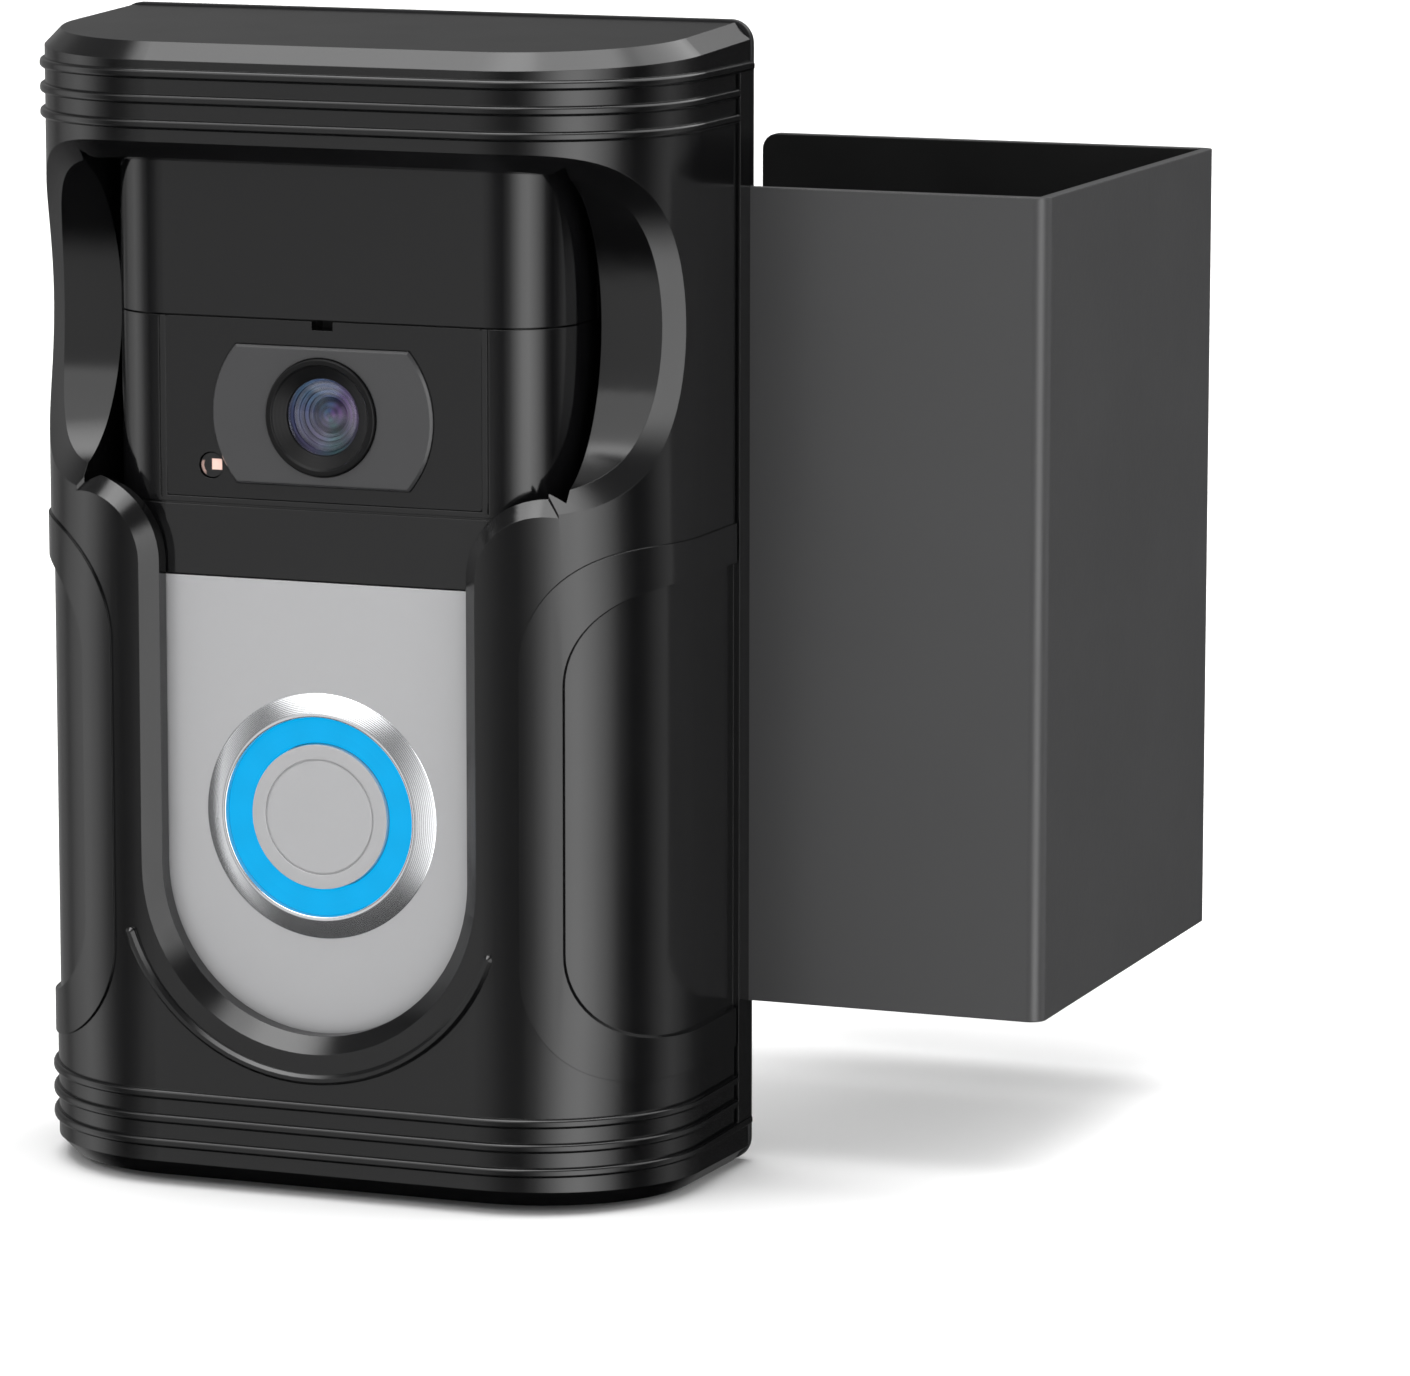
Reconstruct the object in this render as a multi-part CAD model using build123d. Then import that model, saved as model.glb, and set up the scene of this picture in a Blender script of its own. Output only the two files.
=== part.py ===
from build123d import *
import math
import os

# Battery video doorbell held in an anti-theft cage that clamps over the edge of a door.
# Millimetres. X to the right, Y towards the door, Z up.
# The origin is the middle of the foam pad face that rests on the door's outside.
# Heights (h) are counted from the foot of the cage front; up(h) turns them into Z.

# ---- cage shell ----
CAGE_W = 88.0
CAGE_D = 39.3
CAGE_H = 145.0
CAGE_CORNER_R = 22.0
ROOF_RISE = 1.6
FOOT_DROP = 1.1
RIM_CHAMFER = 2.1
FRONT_WALL = 4.0
CAVITY_W = 66.0
CAVITY_LOW = 8.5
CAVITY_HIGH = 137.0
SHADOW_GAP = 0.5

# ---- scooped camera window and slot for the button ----
SCOOP_H = 110.25
SCOOP_DEPTH = 15.9
SCOOP_HALF_H = 20.45
SLOT_X = -0.7
SLOT_R = 21.0
SLOT_FOOT_H = 40.7
SHOULDER_R = 10.4
OPENING_BEVEL = 2.0

# ---- relief on the cage ----
RIB_T = 1.25
RIB_PROUD = 0.65
RIB_ROUND = 0.5
RIB_HEIGHTS = (4.6, 7.75, 10.9, 134.9, 138.05, 141.2)
REAR_BAND_D = 4.6
REAR_BAND_PROUD = 0.45
REAR_GROOVE_W = 0.55
REAR_GROOVE_DEPTH = 0.4
PANEL_LOW = 15.4
PANEL_HIGH = 83.4
PANEL_X = 28.0
PANEL_R = 14.5
PANEL_PROUD = 0.3
RECESS_INSET = 5.0
RECESS_DEPTH = 0.4
ARC_RIB_R = 26.2
ARC_RIB_W = 1.3
ARC_RIB_PROUD = 0.65
ARC_RIB_ROUND = 0.4
ARC_RIB_END_DEG = 20.0

# ---- back plate, pads and screws ----
PLATE_T = 1.0
PLATE_CORNER_R = 3.0
DOOR_PAD_T = 1.5
DOOR_PAD_INSET = 4.0
CAGE_SCREW_X = 38.5
CAGE_SCREW_HEIGHTS = (8.0, 40.0, 106.5, 137.0)
SCREW_R = 1.5
SCREW_CLEAR_R = 1.7
SCREW_HEAD_R = 3.0
SCREW_HEAD_T = 0.9
INSERT_R = 2.2
INSERT_L = 6.0

# ---- door bracket ----
STEEL_T = 1.5
BRACKET_LOW = 20.6
BRACKET_HIGH = 125.9
WEB_X = 84.1
BACK_FLANGE_LEFT = 19.9
BACK_FLANGE_Y = 69.7
BEND_R = 2.0
FLANGE_START_X = 34.5

# ---- clamp behind the door ----
DOOR_T = 45.0
PRESS_PAD_T = 2.0
PRESS_PLATE_T = 2.0
PRESS_W = 40.0
PRESS_H = 76.0
CLAMP_X = 50.0
CLAMP_SPREAD = 50.0
CLAMP_SCREW_R = 2.9
CLAMP_THREAD_R = 3.0
CLAMP_SCREW_L = 36.0
CLAMP_TIP_R = 2.0
CLAMP_HEAD_H = 6.0
WELD_NUT_AF = 10.0
WELD_NUT_H = 5.0

# ---- doorbell ----
BELL_W = 62.0
BELL_D = 28.0
BELL_LOW = 9.5
BELL_H = 126.5
BELL_CORNER_R = 9.2
BELL_VIEW_R = 3.5
FRONT_GAP = 0.4
COVER_T = 1.6
BODY_WALL = 1.8
SEAM = 0.2
FACE_TOP = 77.5
STRIP_TOP = 87.3
MOTION_LOW = 110.6
SPLIT_Y = 17.0
GASKET_T = 0.6

# ---- camera ----
CAM_H = 98.5
PANEL_HALF_W = 21.5
CAM_PANEL_T = 1.6
BEZEL_HALF_H = 8.8
BEZEL_HALF_W = 15.05
BEZEL_ARC_R = 13.4
BEZEL_PROUD = 0.5
BARREL_R = 7.45
BARREL_PROUD = 1.1
GLASS_R = 5.1
SENSOR_X = -15.4
SENSOR_H = 91.7
SENSOR_R = 1.55

# ---- button ----
BUTTON_X = -0.6
BUTTON_H = 47.65
CHROME_R = 15.8
CHROME_INNER_R = 13.15
CHROME_PROUD = 1.1
SLEEVE_R = 13.6
RING_R = 12.7
RING_INNER_R = 9.45
RING_PROUD = 0.5
CAP_R = 9.25
CAP_PROUD = 0.7
CAP_GROOVE_R = 7.3
CAP_GROOVE_W = 0.28

# ---- inside the doorbell ----
MOUNT_PLATE_T = 3.4
STANDOFF_X = 18.0
STANDOFF_HEIGHTS = (45.0, 100.0)
STANDOFF_R = 3.0
STANDOFF_SPIGOT_R = 1.9
POST_X = 25.0
POST_HEIGHTS = (16.0, 129.5)
POST_R = 3.2
POST_BORE_R = 1.1
POST_START = 7.0
BOARD_T = 1.0
BOARD_POST_X = 23.0
BOARD_POST_R = 2.3
BOARD_POST_HEIGHTS = (87.0, 122.0)

# ---- depths counted back from the doorbell's face ----
REDUCED = COVER_T + 0.1
INNER_FACE = REDUCED + BODY_WALL
BODY_REAR = SPLIT_Y - GASKET_T / 2
HOUSING_FRONT = SPLIT_Y + GASKET_T / 2
RIM_FRONT = BODY_REAR - 1.2
HOUSING_WALL = 2.0
HOUSING_FLOOR = BELL_D - HOUSING_WALL
COVER_REAR = RIM_FRONT - SEAM
LENS_LIP_REAR = 0.3
LENS_T = 2.0
LENS_GAP_REAR = 6.0
LENS_HOLDER_FRONT = 10.4
CAMERA_BOARD_FRONT = 13.6
SENSOR_BOARD_FRONT = 9.6
MAIN_BOARD_FRONT = 17.6
MAIN_BOARD_REAR = MAIN_BOARD_FRONT + BOARD_T
LED_BOARD_FRONT = 7.0
RING_SEAT = 2.1
CAP_REAR = 3.0
PLUNGER_REAR = 4.6
SWITCH_FRONT = 5.8
SECURITY_DEPTH = 25.0

# ---- places and radii inside the doorbell ----
HOOK_X = 14.5
HOOK_W = 7.0
HOOK_H = 121.3
TAB_H = 12.0
SOUND_SLOT_XS = (-8.0, -4.0, 0.0, 4.0, 8.0)
CAMERA_PANEL_LOW = 87.7
GASKET_R = 9.0
MIC_H = 109.0
MIC_SLOT_LOW = 109.4
MIC_SLOT_HALF_W = 1.45
LENS_SEAT_R = 5.55
CAP_FLANGE_R = 10.4

# ---- depths worked out from the sizes above ----
PAD_FACE_Y = 0.0
PLATE_REAR = PAD_FACE_Y - DOOR_PAD_T
PLATE_FRONT = PLATE_REAR - PLATE_T
SHELL_REAR = PLATE_FRONT - SHADOW_GAP
SHELL_FRONT = SHELL_REAR - CAGE_D
CAVITY_FRONT = SHELL_FRONT + FRONT_WALL
BELL_FRONT = CAVITY_FRONT + FRONT_GAP
BELL_HIGH = BELL_LOW + BELL_H
MID_H = (BRACKET_LOW + BRACKET_HIGH) / 2


def up(h):
    """Z of a height counted from the foot of the cage front."""
    return h - MID_H


# ---- basic shapes ----
def block(x0, x1, y0, y1, h0, h1):
    """A box between two corners."""
    size = Box(x1 - x0, y1 - y0, h1 - h0)
    return Pos((x0 + x1) / 2, (y0 + y1) / 2, up((h0 + h1) / 2)) * size


def rod(x, h, y0, y1, r):
    """A cylinder along Y."""
    return Pos(x, (y0 + y1) / 2, up(h)) * Rot(90, 0, 0) * Cylinder(r, y1 - y0)


def tube(x, h, y0, y1, r, bore):
    """A ring along Y."""
    return rod(x, h, y0, y1, r) - rod(x, h, y0 - 1, y1 + 1, bore)


def front_plane(y):
    """Sketch plane seen from the front: local x is X and local y is Z, at depth y."""
    return Plane(origin=(0, y, 0), x_dir=(1, 0, 0), z_dir=(0, -1, 0))


def side_plane(x):
    """Sketch plane seen from the right: local x is Y and local y is Z."""
    return Plane(origin=(x, 0, 0), x_dir=(0, 1, 0), z_dir=(1, 0, 0))


def slab(sketch, y0, y1):
    """Extrude a front view sketch from depth y0 to depth y1."""
    return extrude(front_plane(y1) * sketch, amount=y1 - y0)


def rounded_view(x0, x1, h0, h1, r):
    """A rounded rectangle in the front view."""
    return Pos((x0 + x1) / 2, up((h0 + h1) / 2)) * RectangleRounded(x1 - x0, h1 - h0, r)


def plan(half_w, y_front, y_rear, r):
    """Plan outline with two rounded front corners and a straight back."""
    turn = math.sqrt(0.5)
    left_mid = (-half_w + r - r * turn, y_front + r - r * turn)
    right_mid = (half_w - r + r * turn, y_front + r - r * turn)
    edges = [
        Line((-half_w, y_rear), (-half_w, y_front + r)),
        ThreePointArc((-half_w, y_front + r), left_mid, (-half_w + r, y_front)),
        Line((-half_w + r, y_front), (half_w - r, y_front)),
        ThreePointArc((half_w - r, y_front), right_mid, (half_w, y_front + r)),
        Line((half_w, y_front + r), (half_w, y_rear)),
        Line((half_w, y_rear), (-half_w, y_rear)),
    ]
    return make_face(Wire(edges))


def column(half_w, y_front, y_rear, r, h0, h1):
    """The plan outline raised from h0 to h1."""
    return extrude(Pos(0, 0, up(h0)) * plan(half_w, y_front, y_rear, r), amount=h1 - h0, dir=(0, 0, 1))


def grown(amount, y_rear, h0, h1):
    """The cage's outside, grown outwards by an amount."""
    return column(
        CAGE_W / 2 + amount, SHELL_FRONT - amount, y_rear, CAGE_CORNER_R + amount, h0, h1
    )


# ---- cage ----
def cage_blank():
    """The closed outside of the cage: rounded front corners, sloping roof and floor, broken rims."""
    body = column(CAGE_W / 2, SHELL_FRONT, SHELL_REAR, CAGE_CORNER_R, -5, CAGE_H + 5)
    side = Polyline(
        (SHELL_FRONT, up(0)),
        (SHELL_FRONT, up(CAGE_H)),
        (SHELL_REAR, up(CAGE_H + ROOF_RISE)),
        (SHELL_REAR, up(-FOOT_DROP)),
        close=True,
    )
    wedge = extrude(side_plane(-CAGE_W) * make_face(side), amount=2 * CAGE_W)
    body = body & wedge
    roof = body.faces().sort_by(Axis.Z)[-1]
    floor = body.faces().sort_by(Axis.Z)[0]
    rim = [e for e in roof.edges() + floor.edges() if e.center().Y < SHELL_REAR - 0.1]
    return chamfer(rim, RIM_CHAMFER)


def scoop_tool():
    """The hood cut: an elliptic trough that runs right across the cage."""
    profile = Pos(SHELL_FRONT, up(SCOOP_H)) * Ellipse(SCOOP_DEPTH, SCOOP_HALF_H)
    return extrude(side_plane(-CAGE_W) * profile, amount=2 * CAGE_W)


def slot_tool():
    """The slot for the faceplate: round foot, straight sides and flared shoulders."""
    shoulder_x = SLOT_R + SHOULDER_R
    top = up(SCOOP_H - SCOOP_HALF_H)
    bend_z = top - SHOULDER_R
    turn = math.sqrt(0.5)
    mid = (shoulder_x - SHOULDER_R * turn, bend_z + SHOULDER_R * turn)
    ceiling = up(SCOOP_H)
    foot = up(SLOT_FOOT_H)
    edges = [
        ThreePointArc((-SLOT_R, foot), (0, foot - SLOT_R), (SLOT_R, foot)),
        Line((SLOT_R, foot), (SLOT_R, bend_z)),
        ThreePointArc((SLOT_R, bend_z), mid, (shoulder_x, top)),
        Line((shoulder_x, top), (shoulder_x, ceiling)),
        Line((shoulder_x, ceiling), (-shoulder_x, ceiling)),
        Line((-shoulder_x, ceiling), (-shoulder_x, top)),
        ThreePointArc((-shoulder_x, top), (-mid[0], mid[1]), (-SLOT_R, bend_z)),
        Line((-SLOT_R, bend_z), (-SLOT_R, foot)),
    ]
    return Pos(SLOT_X, 0, 0) * slab(make_face(Wire(edges)), SHELL_FRONT - 5, CAVITY_FRONT + 1)


def bevel_openings(body, blank, tools):
    """Break the outer edge of the window and the slot."""
    skin = blank.faces()
    cut_skin = [f for t in tools for f in t.faces()]

    def touches(edge, faces):
        middle = Vertex(*tuple(edge @ 0.5))
        return any(f.distance_to(middle) < 1e-3 for f in faces)

    rim = [e for e in body.edges() if touches(e, skin) and touches(e, cut_skin)]
    return chamfer(rim, OPENING_BEVEL)


def side_panel_view(inset, right):
    """Front view outline of a side panel, open to the side."""
    side = 1 if right else -1
    low = PANEL_LOW + inset
    high = PANEL_HIGH - inset
    inner = PANEL_X + inset
    outer = CAGE_W
    view = rounded_view(inner, outer, low, high, PANEL_R - inset / 2)
    return view if side > 0 else mirror(view, about=Plane.YZ)


def rib(rear, h):
    """One rib round the cage, its outer edges rounded over."""
    body = grown(RIB_PROUD, rear, h - RIB_T / 2, h + RIB_T / 2)
    rims = body.faces().sort_by(Axis.Z)
    outer = [e for e in rims[0].edges() + rims[-1].edges() if e.center().Y < rear - 0.1]
    return fillet(outer, RIB_ROUND)


def rear_groove():
    """Fine groove in front of the rear band, between the outermost ribs."""
    rear = SHELL_REAR - REAR_BAND_D
    low = RIB_HEIGHTS[0] + RIB_T / 2
    high = RIB_HEIGHTS[-1] - RIB_T / 2
    ring = grown(1, rear, low, high) - grown(-REAR_GROOVE_DEPTH, rear + 1, low - 1, high + 1)
    return ring & block(-CAGE_W, CAGE_W, rear - REAR_GROOVE_W, rear, low, high)


def cage_relief():
    """Ribs, rear bands and raised side panels that stand out of the cage's skin."""
    band_front = SHELL_REAR - REAR_BAND_D
    pieces = []
    for h in RIB_HEIGHTS:
        outermost = h in (RIB_HEIGHTS[0], RIB_HEIGHTS[-1])
        rear = SHELL_REAR if outermost else band_front
        pieces.append(rib(rear, h))
    band = block(
        -CAGE_W / 2 - REAR_BAND_PROUD, CAGE_W / 2 + REAR_BAND_PROUD,
        band_front, SHELL_REAR, RIB_HEIGHTS[0], RIB_HEIGHTS[-1],
    )
    pieces.append(band)
    layer = grown(PANEL_PROUD, band_front, PANEL_LOW, PANEL_HIGH)
    for right in (True, False):
        pieces.append(layer & slab(side_panel_view(0, right), SHELL_FRONT - 2, band_front))
    pieces.append(arc_rib())
    return pieces


def arc_rib():
    """A round ended bead below the slot, concentric with the slot's round foot."""
    half = ARC_RIB_W / 2
    right = math.radians(-ARC_RIB_END_DEG)
    left = math.pi - right

    def at(r, turn, ahead=0.0):
        return (r * math.cos(turn) - ahead * math.sin(turn), r * math.sin(turn) + ahead * math.cos(turn))

    inner, outer = ARC_RIB_R - half, ARC_RIB_R + half
    edges = [
        ThreePointArc(at(outer, left), (0, -outer), at(outer, right)),
        ThreePointArc(at(outer, right), at(ARC_RIB_R, right, half), at(inner, right)),
        ThreePointArc(at(inner, right), (0, -inner), at(inner, left)),
        ThreePointArc(at(inner, left), at(ARC_RIB_R, left, -half), at(outer, left)),
    ]
    view = Pos(SLOT_X, up(SLOT_FOOT_H)) * make_face(Wire(edges))
    bead = slab(view, SHELL_FRONT - ARC_RIB_PROUD, SHELL_FRONT + 2)
    return chamfer(bead.faces().sort_by(Axis.Y)[0].edges(), ARC_RIB_ROUND)


def cage_shell():
    """The moulded cage, cored out from the back, with the window and slot cut through it."""
    blank = cage_blank()
    scoop = scoop_tool()
    slot = slot_tool()
    body = bevel_openings(blank - scoop - slot, blank, (scoop, slot))
    for piece in cage_relief():
        body = body + (piece - block(-SLOT_R, SLOT_R, SHELL_FRONT - 3, SHELL_REAR, 60, 110))
    cavity = block(-CAVITY_W / 2, CAVITY_W / 2, CAVITY_FRONT, SHELL_REAR + 1, CAVITY_LOW, CAVITY_HIGH)
    body = body - cavity
    band_front = SHELL_REAR - REAR_BAND_D
    recess_layer = grown(1, band_front, PANEL_LOW, PANEL_HIGH) - grown(
        -RECESS_DEPTH, band_front, PANEL_LOW - 1, PANEL_HIGH + 1
    )
    for right in (True, False):
        view = side_panel_view(RECESS_INSET, right)
        body = body - (recess_layer & slab(view, SHELL_FRONT - 2, band_front))
    return finish_rear(body - rear_groove())


def finish_rear(body):
    """Core pockets, screw posts and the step for the bracket at the back of the cage."""
    pocket_in = CAVITY_W / 2 + 2.5
    pocket_out = CAGE_W / 2 - 2.6
    pocket_front = SHELL_REAR - 15.0
    for low, high in ((15, 33), (47, 71), (75, 99), (113.5, 131)):
        for side in (-1, 1):
            x0, x1 = sorted((side * pocket_in, side * pocket_out))
            body = body - block(x0, x1, pocket_front, SHELL_REAR + 1, low, high)
    post_r = INSERT_R + 1.8
    for side in (-1, 1):
        for h in CAGE_SCREW_HEIGHTS:
            body = body + rod(side * CAGE_SCREW_X, h, SHELL_REAR - 2, PLATE_FRONT, post_r)
    step = block(
        FLANGE_START_X - SEAM, CAGE_W, PLATE_FRONT - STEEL_T, SHELL_REAR + 3,
        BRACKET_LOW - SEAM, BRACKET_HIGH + SEAM,
    )
    body = body - step
    for x, h in cage_screw_places():
        mouth = PLATE_FRONT - (STEEL_T if is_flange_screw(x, h) else 0)
        body = body - rod(x, h, mouth - INSERT_L, PLATE_FRONT + 1, INSERT_R)
        body = body - rod(x, h, mouth - INSERT_L - 4, PLATE_FRONT, SCREW_CLEAR_R)
    return body


def cage_screw_places():
    """Centres of the screws that hold the back plate to the cage."""
    return [(side * CAGE_SCREW_X, h) for side in (-1, 1) for h in CAGE_SCREW_HEIGHTS]


def is_flange_screw(x, h):
    """True where the screw also goes through the bracket's front flange."""
    return x > 0 and BRACKET_LOW < h < BRACKET_HIGH


def cage_inserts():
    """Brass threaded inserts in the cage's posts."""
    parts = []
    for x, h in cage_screw_places():
        mouth = PLATE_FRONT - (STEEL_T if is_flange_screw(x, h) else 0)
        parts.append(tube(x, h, mouth - INSERT_L, mouth, INSERT_R, SCREW_R))
    return parts


def cage_screws():
    """Low head screws from behind the plate into the inserts."""
    parts = []
    for x, h in cage_screw_places():
        head = rod(x, h, PLATE_REAR, PLATE_REAR + SCREW_HEAD_T, SCREW_HEAD_R)
        head = chamfer(head.edges().group_by(Axis.Y)[-1], 0.25)
        socket_y = PLATE_REAR + SCREW_HEAD_T
        drive = slab(Pos(x, up(h)) * RegularPolygon(1.2, 6), socket_y - 0.6, socket_y + 0.1)
        parts.append(head + rod(x, h, PLATE_REAR - 9, PLATE_REAR, SCREW_R) - drive)
    return parts


def back_plate():
    """Thin steel plate that closes the back of the cage."""
    view = rounded_view(-CAGE_W / 2, CAGE_W / 2, -FOOT_DROP, CAGE_H + ROOF_RISE + 0.3, PLATE_CORNER_R)
    plate = slab(view, PLATE_FRONT, PLATE_REAR)
    for x, h in cage_screw_places():
        plate = plate - rod(x, h, PLATE_FRONT - 1, PLATE_REAR + 1, SCREW_CLEAR_R)
    for x, h in standoff_places():
        plate = plate - rod(x, h, PLATE_FRONT - 1, PLATE_REAR + 1, STANDOFF_SPIGOT_R)
    return plate


def door_pad():
    """Foam pad between the back plate and the door, with a hole round each screw head."""
    low = DOOR_PAD_INSET - FOOT_DROP
    high = CAGE_H + ROOF_RISE - DOOR_PAD_INSET
    half = CAGE_W / 2 - DOOR_PAD_INSET
    pad = slab(rounded_view(-half, half, low, high, PLATE_CORNER_R), PLATE_REAR, PAD_FACE_Y)
    for x, h in cage_screw_places():
        pad = pad - rod(x, h, PLATE_REAR - 1, PAD_FACE_Y + 1, SCREW_HEAD_R + 0.8)
    return pad


# ---- door bracket and clamp ----
def bend_plan():
    """Plan outline of the U shaped bracket, bent from one strip of sheet steel."""
    front_y = PLATE_FRONT - STEEL_T
    rear_y = PLATE_REAR + BACK_FLANGE_Y
    inner_r = BEND_R - STEEL_T
    outer = Polyline(
        (FLANGE_START_X, front_y), (WEB_X, front_y), (WEB_X, rear_y), (BACK_FLANGE_LEFT, rear_y),
        (BACK_FLANGE_LEFT, rear_y - STEEL_T), (WEB_X - STEEL_T, rear_y - STEEL_T),
        (WEB_X - STEEL_T, PLATE_FRONT), (FLANGE_START_X, PLATE_FRONT), close=True,
    )
    strip = make_face(outer)
    outer_corners = [v for v in strip.vertices() if abs(v.X - WEB_X) < 0.01]
    strip = fillet(outer_corners, BEND_R)
    inner_corners = [v for v in strip.vertices() if abs(v.X - WEB_X + STEEL_T) < 0.01]
    return fillet(inner_corners, inner_r)


def door_bracket():
    """U bracket: front flange under the cage, web past the door's edge, back flange behind it."""
    height = BRACKET_HIGH - BRACKET_LOW
    bracket = extrude(Pos(0, 0, up(BRACKET_LOW)) * bend_plan(), amount=height, dir=(0, 0, 1))
    tip = [e for e in bracket.edges().filter_by(Axis.Y) if abs(e.center().X - BACK_FLANGE_LEFT) < 0.01]
    bracket = fillet(tip, 2.2)
    for x, h in cage_screw_places():
        if is_flange_screw(x, h):
            bracket = bracket - rod(x, h, PLATE_FRONT - STEEL_T - 1, PLATE_FRONT + 1, SCREW_CLEAR_R)
    y0, y1 = back_flange_front() - 1, back_flange_rear() + 1
    for h in clamp_heights():
        bracket = bracket - rod(CLAMP_X, h, y0, y1, CLAMP_THREAD_R + 0.3)
    return bracket


def back_flange_rear():
    """Y of the back flange's outer face."""
    return PLATE_REAR + BACK_FLANGE_Y


def back_flange_front():
    """Y of the back flange's inner face."""
    return back_flange_rear() - STEEL_T


def clamp_heights():
    """Heights of the two clamp screws."""
    return (MID_H - CLAMP_SPREAD / 2, MID_H + CLAMP_SPREAD / 2)


def flange_pad():
    """Foam pad on the door side of the front flange."""
    view = rounded_view(CAGE_W / 2 + 2, WEB_X - STEEL_T - 2, BRACKET_LOW + 5, BRACKET_HIGH - 5, 2)
    return slab(view, PLATE_FRONT, PAD_FACE_Y)


def clamp_nuts():
    """Hexagon weld nuts on the outside of the back flange."""
    rear = back_flange_rear()
    nuts = []
    for h in clamp_heights():
        hexagon = Pos(CLAMP_X, up(h)) * RegularPolygon(WELD_NUT_AF / 2, 6, major_radius=False)
        nut = slab(hexagon, rear, rear + WELD_NUT_H)
        nuts.append(nut - rod(CLAMP_X, h, rear - 1, rear + WELD_NUT_H + 1, CLAMP_THREAD_R))
    return nuts


def clamp_screw(h):
    """One M6 socket head clamp screw, its turned down tip peened over in the pressure plate."""
    shoulder = DOOR_T + PRESS_PAD_T + PRESS_PLATE_T
    under_head = shoulder + CLAMP_SCREW_L
    tip = DOOR_T + PRESS_PAD_T - 1.0
    screw = rod(CLAMP_X, h, tip, shoulder + 0.1, CLAMP_TIP_R)
    screw = screw + rod(CLAMP_X, h, tip, tip + 0.8, CLAMP_TIP_R + 1.4)
    screw = screw + rod(CLAMP_X, h, shoulder, under_head + 1, CLAMP_SCREW_R)
    head = rod(CLAMP_X, h, under_head, under_head + CLAMP_HEAD_H, 5.0)
    head = chamfer(head.edges().group_by(Axis.Y)[-1], 0.5)
    socket = Pos(CLAMP_X, up(h)) * RegularPolygon(2.5, 6, major_radius=False)
    return screw + head - slab(socket, under_head + CLAMP_HEAD_H / 2, under_head + CLAMP_HEAD_H + 1)


def pressure_plate():
    """Steel plate that the clamp screws push against the inside of the door."""
    y0 = DOOR_T + PRESS_PAD_T
    low, high = MID_H - PRESS_H / 2, MID_H + PRESS_H / 2
    view = rounded_view(CLAMP_X - PRESS_W / 2, CLAMP_X + PRESS_W / 2, low, high, 3)
    plate = slab(view, y0, y0 + PRESS_PLATE_T)
    for h in clamp_heights():
        plate = plate - rod(CLAMP_X, h, y0 - 1, y0 + PRESS_PLATE_T + 1, CLAMP_TIP_R + 0.15)
    return plate


def pressure_pad():
    """Rubber pad on the pressure plate, hollowed round the screw tips."""
    low, high = MID_H - PRESS_H / 2, MID_H + PRESS_H / 2
    view = rounded_view(CLAMP_X - PRESS_W / 2, CLAMP_X + PRESS_W / 2, low, high, 3)
    pad = slab(view, DOOR_T, DOOR_T + PRESS_PAD_T)
    for h in clamp_heights():
        pad = pad - rod(CLAMP_X, h, DOOR_T + 0.5, DOOR_T + PRESS_PAD_T + 1, 4.5)
    return pad


# ---- doorbell: housings ----
def deep(d):
    """Y of a depth counted back from the doorbell's face."""
    return BELL_FRONT + d


def bell_view(inset):
    """Front outline of the doorbell, drawn in by an inset."""
    half = BELL_W / 2 - inset
    return rounded_view(-half, half, BELL_LOW + inset, BELL_HIGH - inset, max(BELL_VIEW_R - inset, 0.5))


def bell_column(inset, rear, h0, h1):
    """The doorbell's round cornered front, drawn in by an inset, between two heights."""
    return column(BELL_W / 2 - inset, deep(inset), deep(rear), BELL_CORNER_R - inset, h0, h1)


def corner_posts():
    """Centres of the four screws that join the housings."""
    return [(side * POST_X, h) for side in (-1, 1) for h in POST_HEIGHTS]


def board_posts():
    """Centres of the four screws that hold the main board."""
    return [(side * BOARD_POST_X, h) for side in (-1, 1) for h in BOARD_POST_HEIGHTS]


def front_body():
    """Black front housing: full size round the camera, drawn in under the two covers."""
    body = bell_column(0, BODY_REAR, FACE_TOP + SEAM, MOTION_LOW - SEAM / 2)
    body = body + bell_column(REDUCED, BODY_REAR, BELL_LOW + REDUCED, BELL_HIGH - REDUCED)
    body = body + slab(bell_view(0), deep(RIM_FRONT), deep(BODY_REAR))
    body = body & slab(bell_view(0), deep(-1), deep(BODY_REAR))
    body = body - bell_column(INNER_FACE, BODY_REAR + 1, BELL_LOW + INNER_FACE, BELL_HIGH - INNER_FACE)
    for x, h in corner_posts():
        body = body + rod(x, h, deep(POST_START), deep(BODY_REAR), POST_R)
        body = body - rod(x, h, deep(BODY_REAR - 8), deep(BODY_REAR + 1), POST_BORE_R)
    for x, h in board_posts():
        body = body + rod(x, h, deep(INNER_FACE - 0.5), deep(MAIN_BOARD_FRONT), BOARD_POST_R)
        body = body - rod(x, h, deep(MAIN_BOARD_FRONT - 5), deep(MAIN_BOARD_FRONT + 1), 0.9)
    for x, h in camera_posts():
        body = body + rod(x, h, deep(INNER_FACE - 0.5), deep(CAMERA_BOARD_FRONT), 1.8)
        body = body - rod(x, h, deep(CAMERA_BOARD_FRONT - 3), deep(CAMERA_BOARD_FRONT + 1), 0.8)
    for x, h in sensor_posts():
        body = body + rod(x, h, deep(INNER_FACE - 0.5), deep(SENSOR_BOARD_FRONT), 1.5)
        body = body - rod(x, h, deep(SENSOR_BOARD_FRONT - 3), deep(SENSOR_BOARD_FRONT + 1), 0.8)
    return body - front_body_cuts()


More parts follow.
